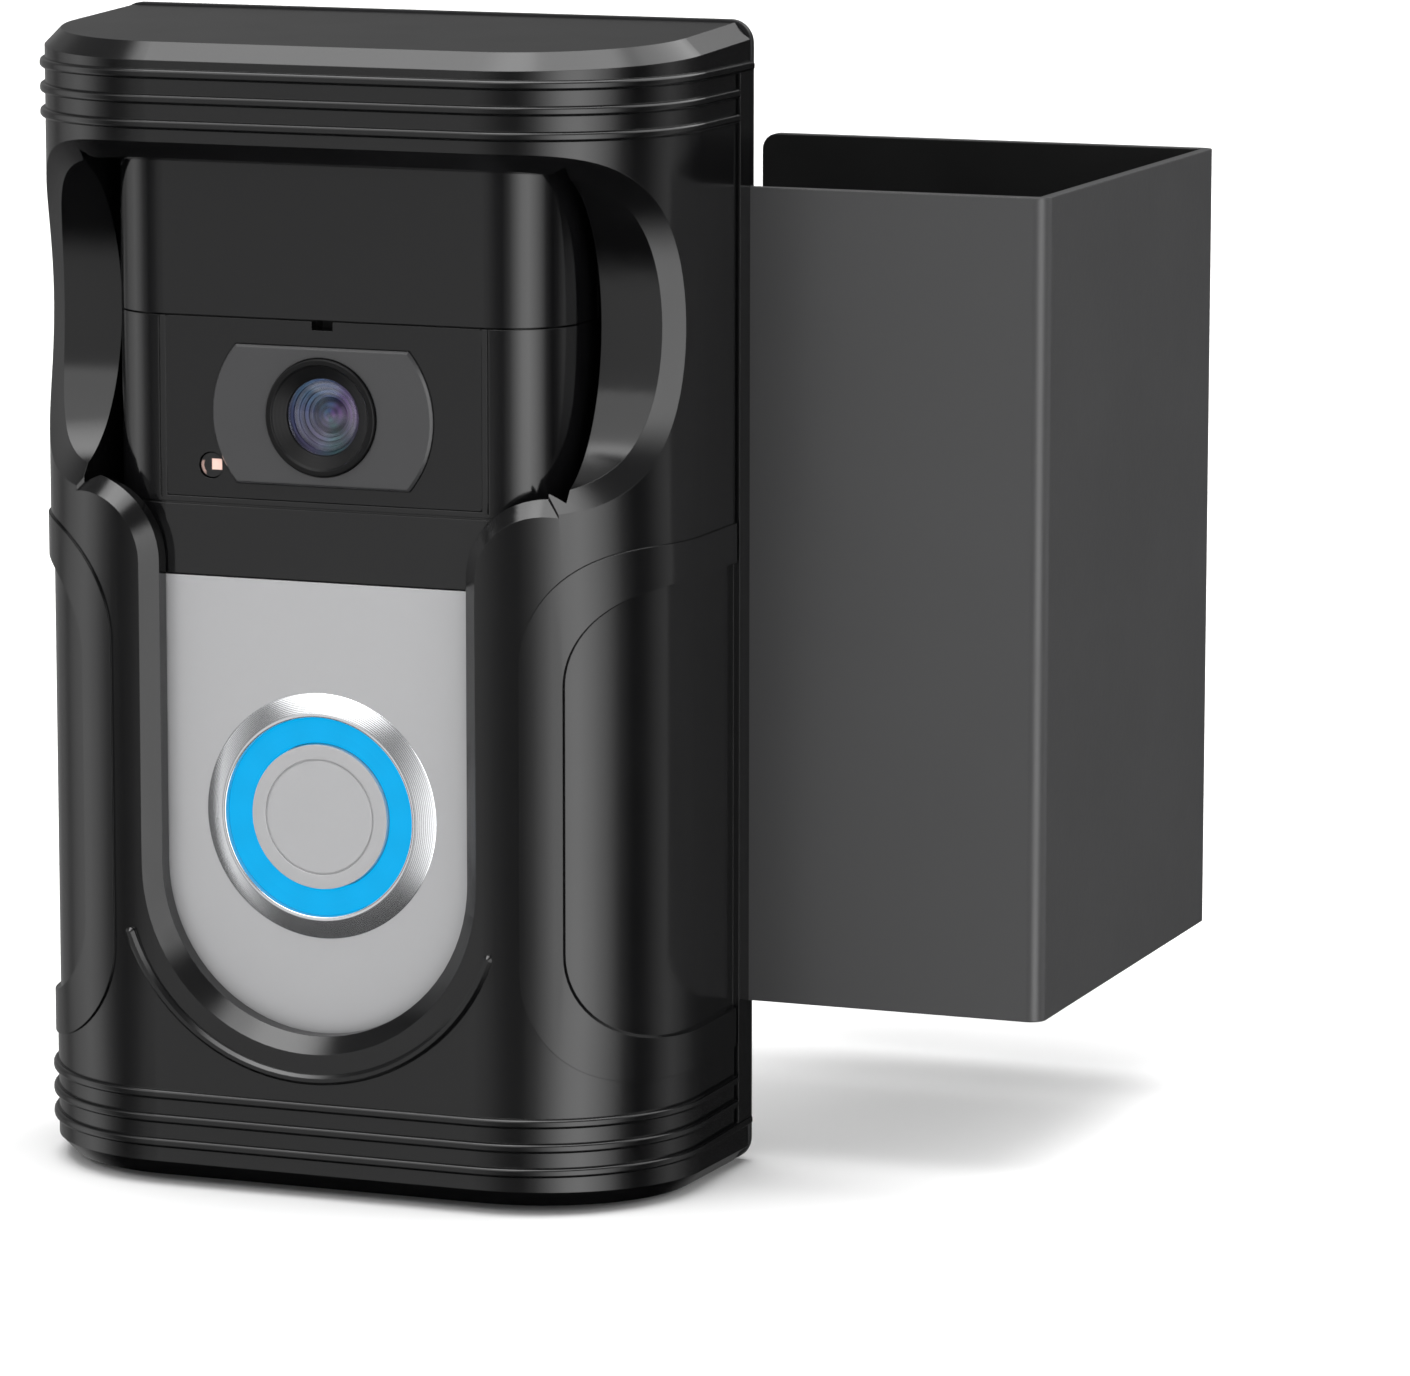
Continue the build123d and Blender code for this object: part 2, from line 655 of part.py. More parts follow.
def front_body_cuts():
    """Everything that is cut through the front housing's face."""
    half = PANEL_HALF_W + 0.05
    pocket = block(-half, half, deep(-1), deep(CAM_PANEL_T), CAMERA_PANEL_LOW - 0.1, MOTION_LOW + 1)
    cuts = pocket + rod(0, CAM_H, deep(-1), deep(INNER_FACE + 1), GASKET_R)
    cuts = cuts + rod(BUTTON_X, BUTTON_H, deep(-1), deep(INNER_FACE + 1), SLEEVE_R + 0.1)
    cuts = cuts + rod(SENSOR_X, SENSOR_H, deep(-1), deep(INNER_FACE + 1), SENSOR_R + 0.15)
    cuts = cuts + mic_slot(0, INNER_FACE + 1)
    for x, h in infrared_places():
        cuts = cuts + rod(x, h, deep(0), deep(INNER_FACE + 1), 1.6)
    window = rounded_view(-18.6, 18.6, 115, 129, 1.5)
    cuts = cuts + slab(window, deep(0), deep(INNER_FACE + 1))
    groove = bell_column(-1, 30, STRIP_TOP - 0.7, STRIP_TOP - 0.4) - bell_column(0.25, 31, 80, 100)
    cuts = cuts + groove
    for side in (-1, 1):
        x = side * (PANEL_HALF_W + 0.9)
        cuts = cuts + block(x - 0.12, x + 0.12, deep(-1), deep(0.25), STRIP_TOP, MOTION_LOW + 1)
    return cuts + sound_slots(BELL_LOW + INNER_FACE + 1)


def sound_slots(high):
    """The speaker's slots in the doorbell's underside, up to a height."""
    half = 0.8
    slots = [
        block(x - half, x + half, deep(5.5), deep(10.5), BELL_LOW - 1, high)
        for x in SOUND_SLOT_XS
    ]
    return slots[0].fuse(*slots[1:])


def back_housing():
    """Rear tub of the doorbell with screw posts, hook slots and the socket opening."""
    tub = slab(bell_view(0), deep(HOUSING_FRONT), deep(BELL_D))
    tub = tub.fillet(1.0, tub.faces().sort_by(Axis.Y)[-1].edges())
    tub = tub - slab(bell_view(HOUSING_WALL), deep(HOUSING_FRONT - 1), deep(HOUSING_FLOOR))
    for x, h in corner_posts():
        tub = tub + rod(x, h, deep(BODY_REAR), deep(HOUSING_FLOOR + 0.5), POST_R)
        tub = tub - rod(x, h, deep(BODY_REAR - 1), deep(BELL_D), 1.3)
        tub = tub - rod(x, h, deep(HOUSING_FLOOR), deep(BELL_D + 1), 2.4)
    for side in (-1, 1):
        x0, x1 = sorted((side * (HOOK_X - HOOK_W / 2 - 0.5), side * (HOOK_X + HOOK_W / 2 + 0.5)))
        tub = tub - block(x0, x1, deep(HOUSING_FLOOR - 1), deep(BELL_D + 1), HOOK_H - 5.8, HOOK_H + 0.2)
        tub = tub - block(x0, x1, deep(HOUSING_FLOOR - 1), deep(BELL_D + 1), TAB_H - 0.4, TAB_H + 3.4)
        tub = tub - rod_up(side * HOOK_X, deep(SECURITY_DEPTH), BELL_LOW - 1, BELL_LOW + 3, 1.5)
        tub = tub - rod_up(side * HOOK_X, deep(SECURITY_DEPTH), BELL_LOW - 1, BELL_LOW + 1.2, 2.7)
    for x, h in terminal_places():
        tub = tub - rod(x, h, deep(HOUSING_FLOOR - 1), deep(BELL_D + 1), SCREW_R)
    return tub - usb_opening(HOUSING_FLOOR - 1, BELL_D + 1, 0.1)


def rod_up(x, y, h0, h1, r):
    """A cylinder along Z."""
    return Pos(x, y, up((h0 + h1) / 2)) * Cylinder(r, h1 - h0)


def usb_opening(front, rear, gap):
    """The charging socket's opening, grown by a gap."""
    view = rounded_view(-4.6 - gap, 4.6 + gap, 84.4 - gap, 87.9 + gap, 1.0)
    return slab(view, deep(front), deep(rear))


def body_gasket():
    """Rubber seal between the two housings."""
    ring = bell_view(0.5) - bell_view(HOUSING_WALL - 0.1)
    return slab(ring, deep(BODY_REAR), deep(HOUSING_FRONT))


def housing_screws():
    """Four screws from the back that join the housings."""
    return [pan_screw(x, h, deep(HOUSING_FLOOR), POST_BORE_R, 17.0, 2.2, 1.6) for x, h in corner_posts()]


def pan_screw(x, h, seat, r, length, head_r, head_t):
    """A screw whose head faces the door, seated at depth seat."""
    head = rod(x, h, seat, seat + head_t, head_r)
    head = chamfer(head.edges().group_by(Axis.Y)[-1], min(0.4, head_t / 3))
    cross = Pos(x, up(h)) * (Rectangle(head_r, head_r / 4) + Rectangle(head_r / 4, head_r))
    return head + rod(x, h, seat - length, seat, r) - slab(cross, seat + head_t * 0.5, seat + head_t + 1)


def motion_cover():
    """Glossy cap over the motion sensors."""
    cap = bell_column(0, COVER_REAR, MOTION_LOW + SEAM / 2, BELL_HIGH)
    cap = cap & slab(bell_view(0), deep(-1), deep(COVER_REAR))
    return cap - bell_column(COVER_T, COVER_REAR + 1, MOTION_LOW - 1, BELL_HIGH - COVER_T)


def faceplate():
    """Satin snap-on faceplate with the button hole and sound slots in its bottom edge."""
    plate = bell_column(0, COVER_REAR, BELL_LOW, FACE_TOP)
    plate = plate & slab(bell_view(0), deep(-1), deep(COVER_REAR))
    plate = plate - bell_column(COVER_T, COVER_REAR + 1, BELL_LOW + COVER_T, FACE_TOP + 1)
    plate = plate - rod(BUTTON_X, BUTTON_H, deep(-1), deep(COVER_T + 1), SLEEVE_R + 0.1)
    return plate - sound_slots(BELL_LOW + 3)


# ---- doorbell: camera ----
def bezel_view(gap):
    """A circle with its top and bottom cut off."""
    x = BEZEL_HALF_W - BEZEL_ARC_R + math.sqrt(BEZEL_ARC_R ** 2 - BEZEL_HALF_H ** 2) + gap
    z = BEZEL_HALF_H + gap
    edges = [
        Line((-x, z), (x, z)),
        ThreePointArc((x, z), (BEZEL_HALF_W + gap, 0), (x, -z)),
        Line((x, -z), (-x, -z)),
        ThreePointArc((-x, -z), (-BEZEL_HALF_W - gap, 0), (-x, z)),
    ]
    return Pos(0, up(CAM_H)) * make_face(Wire(edges))


def camera_panel():
    """Dark panel round the camera with holes for the bezel, light sensor and microphone."""
    view = rounded_view(-PANEL_HALF_W, PANEL_HALF_W, CAMERA_PANEL_LOW, MOTION_LOW - SEAM / 2, 0.3)
    panel = slab(view, deep(0), deep(CAM_PANEL_T))
    panel = panel - slab(bezel_view(0.08), deep(-1), deep(CAM_PANEL_T + 1))
    panel = panel - rod(SENSOR_X, SENSOR_H, deep(-1), deep(CAM_PANEL_T + 1), SENSOR_R + 0.15)
    return panel - mic_slot(-1, CAM_PANEL_T + 1)


def mic_slot(front, rear):
    """Sound slot above the camera, under the edge of the motion cover."""
    low, high = MIC_SLOT_LOW, MOTION_LOW - SEAM / 2 + 0.05
    return block(-MIC_SLOT_HALF_W, MIC_SLOT_HALF_W, deep(front), deep(rear), low, high)


def lens_bezel():
    """Grey bezel with two round ends and flat top and bottom."""
    bezel = slab(bezel_view(0), deep(-BEZEL_PROUD), deep(CAM_PANEL_T - 0.1))
    bezel = chamfer(bezel.faces().sort_by(Axis.Y)[0].edges(), 0.3)
    return bezel - rod(0, CAM_H, deep(-2), deep(3), BARREL_R + 0.1)


def lens_barrel():
    """Lens barrel with a coned mouth and a lip that holds the front element."""
    front = -BARREL_PROUD
    barrel = rod(0, CAM_H, deep(front), deep(LENS_HOLDER_FRONT), BARREL_R)
    barrel = barrel - rod(0, CAM_H, deep(LENS_LIP_REAR), deep(LENS_HOLDER_FRONT + 1), LENS_SEAT_R)
    barrel = barrel - rod(0, CAM_H, deep(front - 1), deep(LENS_LIP_REAR + 1), GLASS_R - 0.3)
    mouth_depth = LENS_LIP_REAR - 0.4 - front
    mouth = Pos(0, deep(front + mouth_depth / 2), up(CAM_H)) * Rot(90, 0, 0) * Cone(
        GLASS_R - 0.3, BARREL_R - 0.7, mouth_depth
    )
    return chamfer((barrel - mouth).faces().sort_by(Axis.Y)[0].outer_wire().edges(), 0.15)


def domed_glass(front, thick, dome_r, sag):
    """A lens: a disc with a domed front."""
    sphere_r = (dome_r ** 2 + sag ** 2) / (2 * sag)
    dome = Pos(0, deep(front - sag + sphere_r), up(CAM_H)) * Sphere(sphere_r)
    dome = dome & rod(0, CAM_H, deep(front - sag - 0.1), deep(front + 0.05), dome_r)
    return rod(0, CAM_H, deep(front), deep(front + thick), LENS_SEAT_R) + dome


def lens_front_glass():
    """Front lens element."""
    return domed_glass(LENS_LIP_REAR, LENS_T, GLASS_R - 0.4, 1.3)


def lens_inner_glass():
    """Second lens element."""
    return domed_glass(LENS_GAP_REAR, LENS_T, 4.3, 1.0)


def lens_spacer():
    """Spacer between the two lens elements."""
    return tube(0, CAM_H, deep(LENS_LIP_REAR + LENS_T), deep(LENS_GAP_REAR), LENS_SEAT_R, 4.4)


def lens_holder():
    """Square mount under the barrel, over the image sensor."""
    half = 8.0
    front, rear = deep(LENS_HOLDER_FRONT), deep(CAMERA_BOARD_FRONT)
    box = block(-half, half, front, rear, CAM_H - half, CAM_H + half)
    return box - rod(0, CAM_H, front - 1, rear + 1, LENS_SEAT_R - 0.15)


def image_sensor():
    """Image sensor chip."""
    return block(-3.4, 3.4, deep(12.7), deep(CAMERA_BOARD_FRONT), CAM_H - 3, CAM_H + 3)


def camera_gasket():
    """Rubber ring between the barrel and the front housing."""
    return tube(0, CAM_H, deep(CAM_PANEL_T + 0.1), deep(INNER_FACE), GASKET_R, BARREL_R)


def camera_posts():
    """Centres of the camera board's posts."""
    return [(-17.5, 99.5), (17.5, 99.5)]


def camera_board():
    """Circuit board behind the camera."""
    rear = CAMERA_BOARD_FRONT + BOARD_T
    board = slab(rounded_view(-20, 20, 88, 110, 1), deep(CAMERA_BOARD_FRONT), deep(rear))
    for x, h in camera_posts():
        board = board - rod(x, h, deep(CAMERA_BOARD_FRONT - 1), deep(rear + 1), 0.8)
    return board


def infrared_places():
    """Centres of the infrared night vision lamps."""
    return [(side * 18.2, h) for side in (-1, 1) for h in (95.6, 104.4)]


def infrared_leds():
    """Infrared lamps behind the dark panel."""
    leds = []
    for x, h in infrared_places():
        flange = rod(x, h, deep(INNER_FACE), deep(INNER_FACE + 0.8), 1.8)
        leds.append(rod(x, h, deep(CAM_PANEL_T + 0.2), deep(INNER_FACE), 1.5) + flange)
    return leds


def light_sensor():
    """Ambient light sensor with its clear window."""
    window = rod(SENSOR_X, SENSOR_H, deep(0.3), deep(INNER_FACE), SENSOR_R)
    return window + rod(SENSOR_X, SENSOR_H, deep(INNER_FACE), deep(INNER_FACE + 1.2), 2.4)


def microphone():
    """Microphone behind its sound hole."""
    return block(-1.9, 1.9, deep(INNER_FACE), deep(INNER_FACE + 1.1), MIC_H - 1.2, MIC_H + 1.7)


# ---- doorbell: motion sensing ----
def fresnel_lens():
    """Ribbed lens sheet in front of the motion sensors."""
    sheet = slab(rounded_view(-18.5, 18.5, 115.1, 128.9, 1.4), deep(REDUCED + 0.2), deep(REDUCED + 1.2))
    for i in range(-5, 6):
        sheet = sheet - block(i * 3 - 0.2, i * 3 + 0.2, deep(REDUCED + 0.9), deep(REDUCED + 2), 116, 128)
    return sheet


def pir_sensors():
    """Three metal can motion sensors."""
    cans = []
    for x in (-12.0, 0.0, 12.0):
        can = rod(x, 122, deep(5.4), deep(SENSOR_BOARD_FRONT - 0.6), 4.1)
        cans.append(can + rod(x, 122, deep(SENSOR_BOARD_FRONT - 0.6), deep(SENSOR_BOARD_FRONT), 4.6))
    return cans


def sensor_posts():
    """Centres of the sensor board's posts."""
    return [(-20.3, 116.5), (20.3, 116.5)]


def sensor_board():
    """Circuit board that carries the motion sensors."""
    rear = SENSOR_BOARD_FRONT + BOARD_T
    view = rounded_view(-21.5, 21.5, 113, 131, 1) - board_notches()
    board = slab(view, deep(SENSOR_BOARD_FRONT), deep(rear))
    for x, h in sensor_posts():
        board = board - rod(x, h, deep(SENSOR_BOARD_FRONT - 1), deep(rear + 1), 0.8)
    return board


def board_notches():
    """Notches that let the sensor board past the main board's posts."""
    notches = Sketch()
    for x, h in board_posts():
        notches = notches + Pos(x, up(h)) * Circle(2.6)
    return notches


def board_screws():
    """Small screws that hold the main, camera, sensor and light boards."""
    screws = [pan_screw(x, h, deep(MAIN_BOARD_REAR), 0.9, 5.0, 1.8, 1.2) for x, h in board_posts()]
    rear = CAMERA_BOARD_FRONT + BOARD_T
    screws += [pan_screw(x, h, deep(rear), 0.8, 3.5, 1.5, 0.9) for x, h in camera_posts()]
    rear = SENSOR_BOARD_FRONT + BOARD_T
    screws += [pan_screw(x, h, deep(rear), 0.8, 3.5, 1.5, 0.9) for x, h in sensor_posts()]
    rear = LED_BOARD_FRONT + BOARD_T
    screws += [pan_screw(x, h, deep(rear), 0.7, 3.0, 1.3, 0.8) for x, h in led_board_screw_places()]
    return screws


# ---- doorbell: button ----
def button_bezel():
    """Chrome ring with a sloping face and a sleeve that passes through the faceplate."""
    slope = Pos(BUTTON_X, deep(-CHROME_PROUD / 2), up(BUTTON_H)) * Rot(90, 0, 0) * Cone(
        CHROME_R - 0.15, CHROME_INNER_R, CHROME_PROUD
    )
    ring = slope + rod(BUTTON_X, BUTTON_H, deep(-0.25), deep(0), CHROME_R)
    ring = ring + rod(BUTTON_X, BUTTON_H, deep(0), deep(INNER_FACE - 0.1), SLEEVE_R)
    ring = ring - rod(BUTTON_X, BUTTON_H, deep(-3), deep(RING_SEAT), RING_R + 0.1)
    return ring - rod(BUTTON_X, BUTTON_H, deep(-3), deep(INNER_FACE + 1), CAP_FLANGE_R + 0.6)


def light_ring():
    """Translucent ring round the button."""
    ring = tube(BUTTON_X, BUTTON_H, deep(-RING_PROUD), deep(RING_SEAT), RING_R, RING_INNER_R)
    return chamfer(ring.faces().sort_by(Axis.Y)[0].edges(), 0.2)


def button_cap():
    """The button that is pressed, with a fine ring groove in its face."""
    cap = rod(BUTTON_X, BUTTON_H, deep(-CAP_PROUD), deep(RING_SEAT + 0.1), CAP_R)
    cap = chamfer(cap.faces().sort_by(Axis.Y)[0].edges(), 0.2)
    outer, inner = CAP_GROOVE_R + CAP_GROOVE_W / 2, CAP_GROOVE_R - CAP_GROOVE_W / 2
    groove = tube(BUTTON_X, BUTTON_H, deep(-CAP_PROUD - 1), deep(-CAP_PROUD + 0.2), outer, inner)
    flange = rod(BUTTON_X, BUTTON_H, deep(RING_SEAT + 0.1), deep(CAP_REAR), CAP_FLANGE_R)
    return cap + flange - groove


def button_plunger():
    """Stem between the button and the switch dome."""
    return rod(BUTTON_X, BUTTON_H, deep(CAP_REAR), deep(PLUNGER_REAR), 2.5)


def button_dome():
    """Rubber dome that gives way under the plunger and pushes it back."""
    dome = rod(BUTTON_X, BUTTON_H, deep(PLUNGER_REAR + 0.02), deep(SWITCH_FRONT), 3.4)
    return dome - rod(BUTTON_X, BUTTON_H, deep(PLUNGER_REAR + 0.5), deep(SWITCH_FRONT + 1), 2.6)


def tact_switch():
    """Press switch on the light board."""
    half = 3.0
    body = block(
        BUTTON_X - half, BUTTON_X + half, deep(SWITCH_FRONT), deep(LED_BOARD_FRONT),
        BUTTON_H - half, BUTTON_H + half,
    )
    return body + rod(BUTTON_X, BUTTON_H, deep(SWITCH_FRONT - 0.3), deep(SWITCH_FRONT), 1.6)


def led_board():
    """Round board behind the button."""
    board = rod(BUTTON_X, BUTTON_H, deep(LED_BOARD_FRONT), deep(LED_BOARD_FRONT + BOARD_T), 16.5)
    for x, h in led_board_screw_places():
        board = board - rod(x, h, deep(LED_BOARD_FRONT - 1), deep(LED_BOARD_FRONT + 2), 0.7)
    return board


def led_board_screw_places():
    """Centres of the three screws at the light board's edge."""
    r = 15.1
    turns = [math.radians(a) for a in (90, 210, 330)]
    return [(BUTTON_X + r * math.cos(a), BUTTON_H + r * math.sin(a)) for a in turns]


def led_carrier():
    """Ring that stands the light board off the front housing."""
    ring = tube(BUTTON_X, BUTTON_H, deep(INNER_FACE), deep(LED_BOARD_FRONT), 16.5, 13.8)
    for x, h in led_board_screw_places():
        ring = ring - rod(x, h, deep(LED_BOARD_FRONT - 2.4), deep(LED_BOARD_FRONT + 1), 0.7)
    return ring


def ring_leds():
    """Twelve lamps under the light ring."""
    r = (RING_R + RING_INNER_R) / 2
    half = 0.8
    lamps = []
    for i in range(12):
        a = math.radians(30 * i + 15)
        x, h = BUTTON_X + r * math.cos(a), BUTTON_H + r * math.sin(a)
        y0, y1 = deep(LED_BOARD_FRONT - 0.7), deep(LED_BOARD_FRONT)
        lamps.append(block(x - half, x + half, y0, y1, h - half, h + half))
    return lamps


# ---- doorbell: electronics ----
def main_board():
    """Main circuit board."""
    rear = MAIN_BOARD_REAR
    board = slab(rounded_view(-26, 26, 83.5, 125, 1), deep(MAIN_BOARD_FRONT), deep(rear))
    for x, h in board_posts():
        board = board - rod(x, h, deep(MAIN_BOARD_FRONT - 1), deep(rear + 1), 0.9)
    return board


def shield_can():
    """Metal lid over the processor."""
    rear = MAIN_BOARD_REAR
    can = block(-9, 9, deep(rear), deep(rear + 2.4), 97, 115)
    return can - block(-8.7, 8.7, deep(rear - 1), deep(rear + 2.1), 97.3, 114.7)


def board_parts():
    """Processor, radio module, chips, coil and capacitors on the main board."""
    rear = MAIN_BOARD_REAR
    parts = [
        block(-6, 6, deep(rear), deep(rear + 1.2), 100, 112),
        block(-23, -12, deep(rear), deep(rear + 2.2), 93, 109),
        block(12, 19, deep(rear), deep(rear + 1.0), 106, 113),
        block(13, 18, deep(rear), deep(rear + 3.0), 98, 103),
        rod(21.5, 92.5, deep(rear), deep(rear + 5.0), 2.2),
        rod(21.5, 98.5, deep(rear), deep(rear + 5.0), 2.2),
    ]
    for i in range(5):
        x = -21 + 2.4 * i
        parts.append(block(x, x + 1.2, deep(rear), deep(rear + 0.6), 112, 113))
    return parts


def antenna():
    """Flexible antenna strip on the inside of the back wall."""
    return slab(rounded_view(-9, 9, 126.5, 132.5, 1), deep(HOUSING_FLOOR - 0.4), deep(HOUSING_FLOOR))


def usb_port():
    """Charging socket."""
    port = usb_opening(MAIN_BOARD_REAR, HOUSING_FLOOR, -0.1)
    mouth = rounded_view(-3.9, 3.9, 85.1, 87.2, 0.6)
    return port - slab(mouth, deep(HOUSING_FLOOR - 4), deep(HOUSING_FLOOR + 1))


def usb_cover():
    """Rubber bung in the charging socket's opening."""
    return usb_opening(HOUSING_FLOOR + 0.1, BELL_D - 0.1, 0)


def board_connectors():
    """Plug blocks for the camera and sensor boards, and the flat cable up from the light board."""
    front = MAIN_BOARD_FRONT
    start = LED_BOARD_FRONT + BOARD_T
    ribbon = block(-12, -6, deep(start), deep(start + 0.3), 57, 86.3)
    ribbon = ribbon + block(-12, -6, deep(start), deep(front), 86, 86.3)
    return [
        block(9.5, 16, deep(CAMERA_BOARD_FRONT + BOARD_T), deep(front), 90, 93.5),
        block(-16, -9, deep(SENSOR_BOARD_FRONT + BOARD_T), deep(front), 117.5, 121),
        ribbon,
    ]


def battery_pack():
    """Lithium battery behind the faceplate."""
    view = rounded_view(-21, 21, 33, 80, 3)
    return slab(view, deep(10.9), deep(HOUSING_FLOOR - 0.6))


def battery_foam():
    """Foam pad between the battery and the back wall."""
    return slab(rounded_view(-18, 18, 36, 77, 2), deep(HOUSING_FLOOR - 0.6), deep(HOUSING_FLOOR))


def battery_leads():
    """Two short wires from the battery and their plug on the main board."""
    rear = MAIN_BOARD_REAR
    plug = block(12, 18, deep(rear), deep(rear + 3), 84.5, 88.5)
    return [plug] + [rod_up(x, deep(rear + 1.5), 80, 84.5, 0.6) for x in (14, 16)]


def speaker():
    """Loudspeaker frame and magnet; it sounds through the slots in the bottom edge."""
    frame = block(-13, 13, deep(5.4), deep(12.4), 15, 30) - rod(0, 22.5, deep(4), deep(6.2), 6)
    return [frame, rod(0, 22.5, deep(12.4), deep(16.2), 5.5)]


# ---- doorbell: mounting ----
def terminal_places():
    """Centres of the two wiring terminals."""
    return [(-7.0, 24.0), (7.0, 24.0)]


def terminal_screws():
    """Wiring terminal screws in the back wall."""
    return [pan_screw(x, h, deep(BELL_D), SCREW_R, 6.0, 2.8, 1.6) for x, h in terminal_places()]


def standoff_places():
    """Centres of the standoffs between the back plate and the doorbell's mount."""
    return [(side * STANDOFF_X, h) for side in (-1, 1) for h in STANDOFF_HEIGHTS]


def mount_plate():
    """The doorbell's own wall mount, with hooks at the top and tabs at the bottom."""
    rear = BELL_D + MOUNT_PLATE_T
    plate = slab(rounded_view(-27, 27, 13.5, 131, 3), deep(BELL_D), deep(rear))
    for x, h in standoff_places():
        plate = plate - rod(x, h, deep(BELL_D - 1), deep(rear + 1), SCREW_CLEAR_R)
        plate = plate - rod(x, h, deep(BELL_D - 1), deep(BELL_D + 2), 3.1)
    for x, h in corner_posts():
        plate = plate - rod(x, h, deep(BELL_D - 1), deep(BELL_D + 1), 2.6)
    plate = plate - slab(rounded_view(-12, 12, 18, 30, 2), deep(BELL_D - 1), deep(rear + 1))
    plate = plate - slab(rounded_view(-12, 12, 80, 92, 2), deep(BELL_D - 1), deep(rear + 1))
    for side in (-1, 1):
        x0, x1 = sorted((side * (HOOK_X - HOOK_W / 2), side * (HOOK_X + HOOK_W / 2)))
        plate = plate + block(x0, x1, deep(HOUSING_FLOOR - 2), deep(BELL_D + 0.5), HOOK_H - 2.5, HOOK_H)
        y0, y1 = deep(HOUSING_FLOOR - 2), deep(HOUSING_FLOOR - 0.3)
        plate = plate + block(x0, x1, y0, y1, HOOK_H - 2.5, HOOK_H + 2.7)
        plate = plate + block(x0, x1, deep(SECURITY_DEPTH - 2.5), deep(BELL_D), TAB_H, TAB_H + 3)
        plate = plate + block(x0, x1, deep(BELL_D), deep(rear), TAB_H, TAB_H + 3)
        plate = plate - rod_up(side * HOOK_X, deep(SECURITY_DEPTH), TAB_H - 1, TAB_H + 4, 1.4)
    return plate


def security_screws():
    """Two screws through the bottom edge into the mount's tabs."""
    screws = []
    for side in (-1, 1):
        x, y = side * HOOK_X, deep(SECURITY_DEPTH)
        seat = BELL_LOW + 1.2
        screw = rod_up(x, y, seat, TAB_H + 2.8, 1.4) + rod_up(x, y, BELL_LOW + 0.1, seat, 2.6)
        screws.append(screw - rod_up(x, y, BELL_LOW - 1, BELL_LOW + 0.6, 1.0))
    return screws


def plate_standoffs():
    """Threaded standoffs pressed into the back plate."""
    front = deep(BELL_D + MOUNT_PLATE_T)
    parts = []
    for x, h in standoff_places():
        spigot = rod(x, h, PLATE_FRONT, PLATE_REAR, STANDOFF_SPIGOT_R)
        body = rod(x, h, front, PLATE_FRONT, STANDOFF_R) + spigot
        parts.append(body - rod(x, h, front - 1, PLATE_FRONT - 0.3, SCREW_R))
    return parts


def mount_screws():
    """Screws that hold the doorbell's mount to the standoffs, driven from the front."""
    seat = deep(BELL_D + 2)
    parts = []
    for x, h in standoff_places():
        head = rod(x, h, seat - 1.7, seat, 2.8)
        slot = block(x - 2, x + 2, seat - 2, seat - 1.1, h - 0.4, h + 0.4)
        parts.append(head + rod(x, h, seat, seat + 4.8, SCREW_R) - slot)
    return parts


NODES = {
    "cage_shell": cage_shell, "cage_inserts": cage_inserts, "cage_screws": cage_screws,
    "back_plate": back_plate, "door_pad": door_pad, "door_bracket": door_bracket,
    "flange_pad": flange_pad, "clamp_nuts": clamp_nuts,
    "clamp_screw_upper": lambda: clamp_screw(clamp_heights()[1]),
    "clamp_screw_lower": lambda: clamp_screw(clamp_heights()[0]),
    "pressure_plate": pressure_plate, "pressure_pad": pressure_pad,
    "front_body": front_body, "back_housing": back_housing, "body_gasket": body_gasket,
    "housing_screws": housing_screws, "motion_cover": motion_cover, "faceplate": faceplate,
    "camera_panel": camera_panel, "lens_bezel": lens_bezel, "lens_barrel": lens_barrel,
    "lens_front_glass": lens_front_glass, "lens_inner_glass": lens_inner_glass,
    "lens_spacer": lens_spacer, "lens_holder": lens_holder, "image_sensor": image_sensor,
    "camera_gasket": camera_gasket, "camera_board": camera_board, "infrared_leds": infrared_leds,
    "light_sensor": light_sensor, "microphone": microphone, "fresnel_lens": fresnel_lens,
    "pir_sensors": pir_sensors, "sensor_board": sensor_board, "board_screws": board_screws,
    "button_bezel": button_bezel, "light_ring": light_ring, "button_cap": button_cap,
    "button_plunger": button_plunger, "button_dome": button_dome, "tact_switch": tact_switch,
    "led_board": led_board, "led_carrier": led_carrier, "ring_leds": ring_leds,
    "main_board": main_board, "shield_can": shield_can, "board_parts": board_parts,
    "board_connectors": board_connectors, "antenna": antenna, "usb_port": usb_port,
    "usb_cover": usb_cover, "battery_pack": battery_pack, "battery_foam": battery_foam,
    "battery_leads": battery_leads, "speaker": speaker, "terminal_screws": terminal_screws,
    "mount_plate": mount_plate, "security_screws": security_screws,
    "mount_screws": mount_screws, "plate_standoffs": plate_standoffs,
}


def as_shape(built):
    """One shape for a node: a single part as it is, several as a compound of separate solids."""
    if isinstance(built, list):
        return Compound(children=[solid for item in built for solid in item.solids()])
    solids = built.solids()
    return solids[0] if len(solids) == 1 else Compound(children=list(solids))


def main():
    """Build every node and write it to its own file."""
    os.makedirs("parts", exist_ok=True)
    for name, make in NODES.items():
        shape = as_shape(make())
        shape.label = name
        export_step(shape, f"parts/{name}.step")


if __name__ == "__main__":
    main()
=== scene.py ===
"""Battery video doorbell in its moulded anti-theft cage, with the steel bracket that clamps a door.

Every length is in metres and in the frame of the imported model: X to the right as seen from
outside the door, Y towards the door and Z up.
"""
import logging
import math
from dataclasses import dataclass, field
from enum import Enum

import bmesh
import bpy
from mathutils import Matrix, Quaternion, Vector


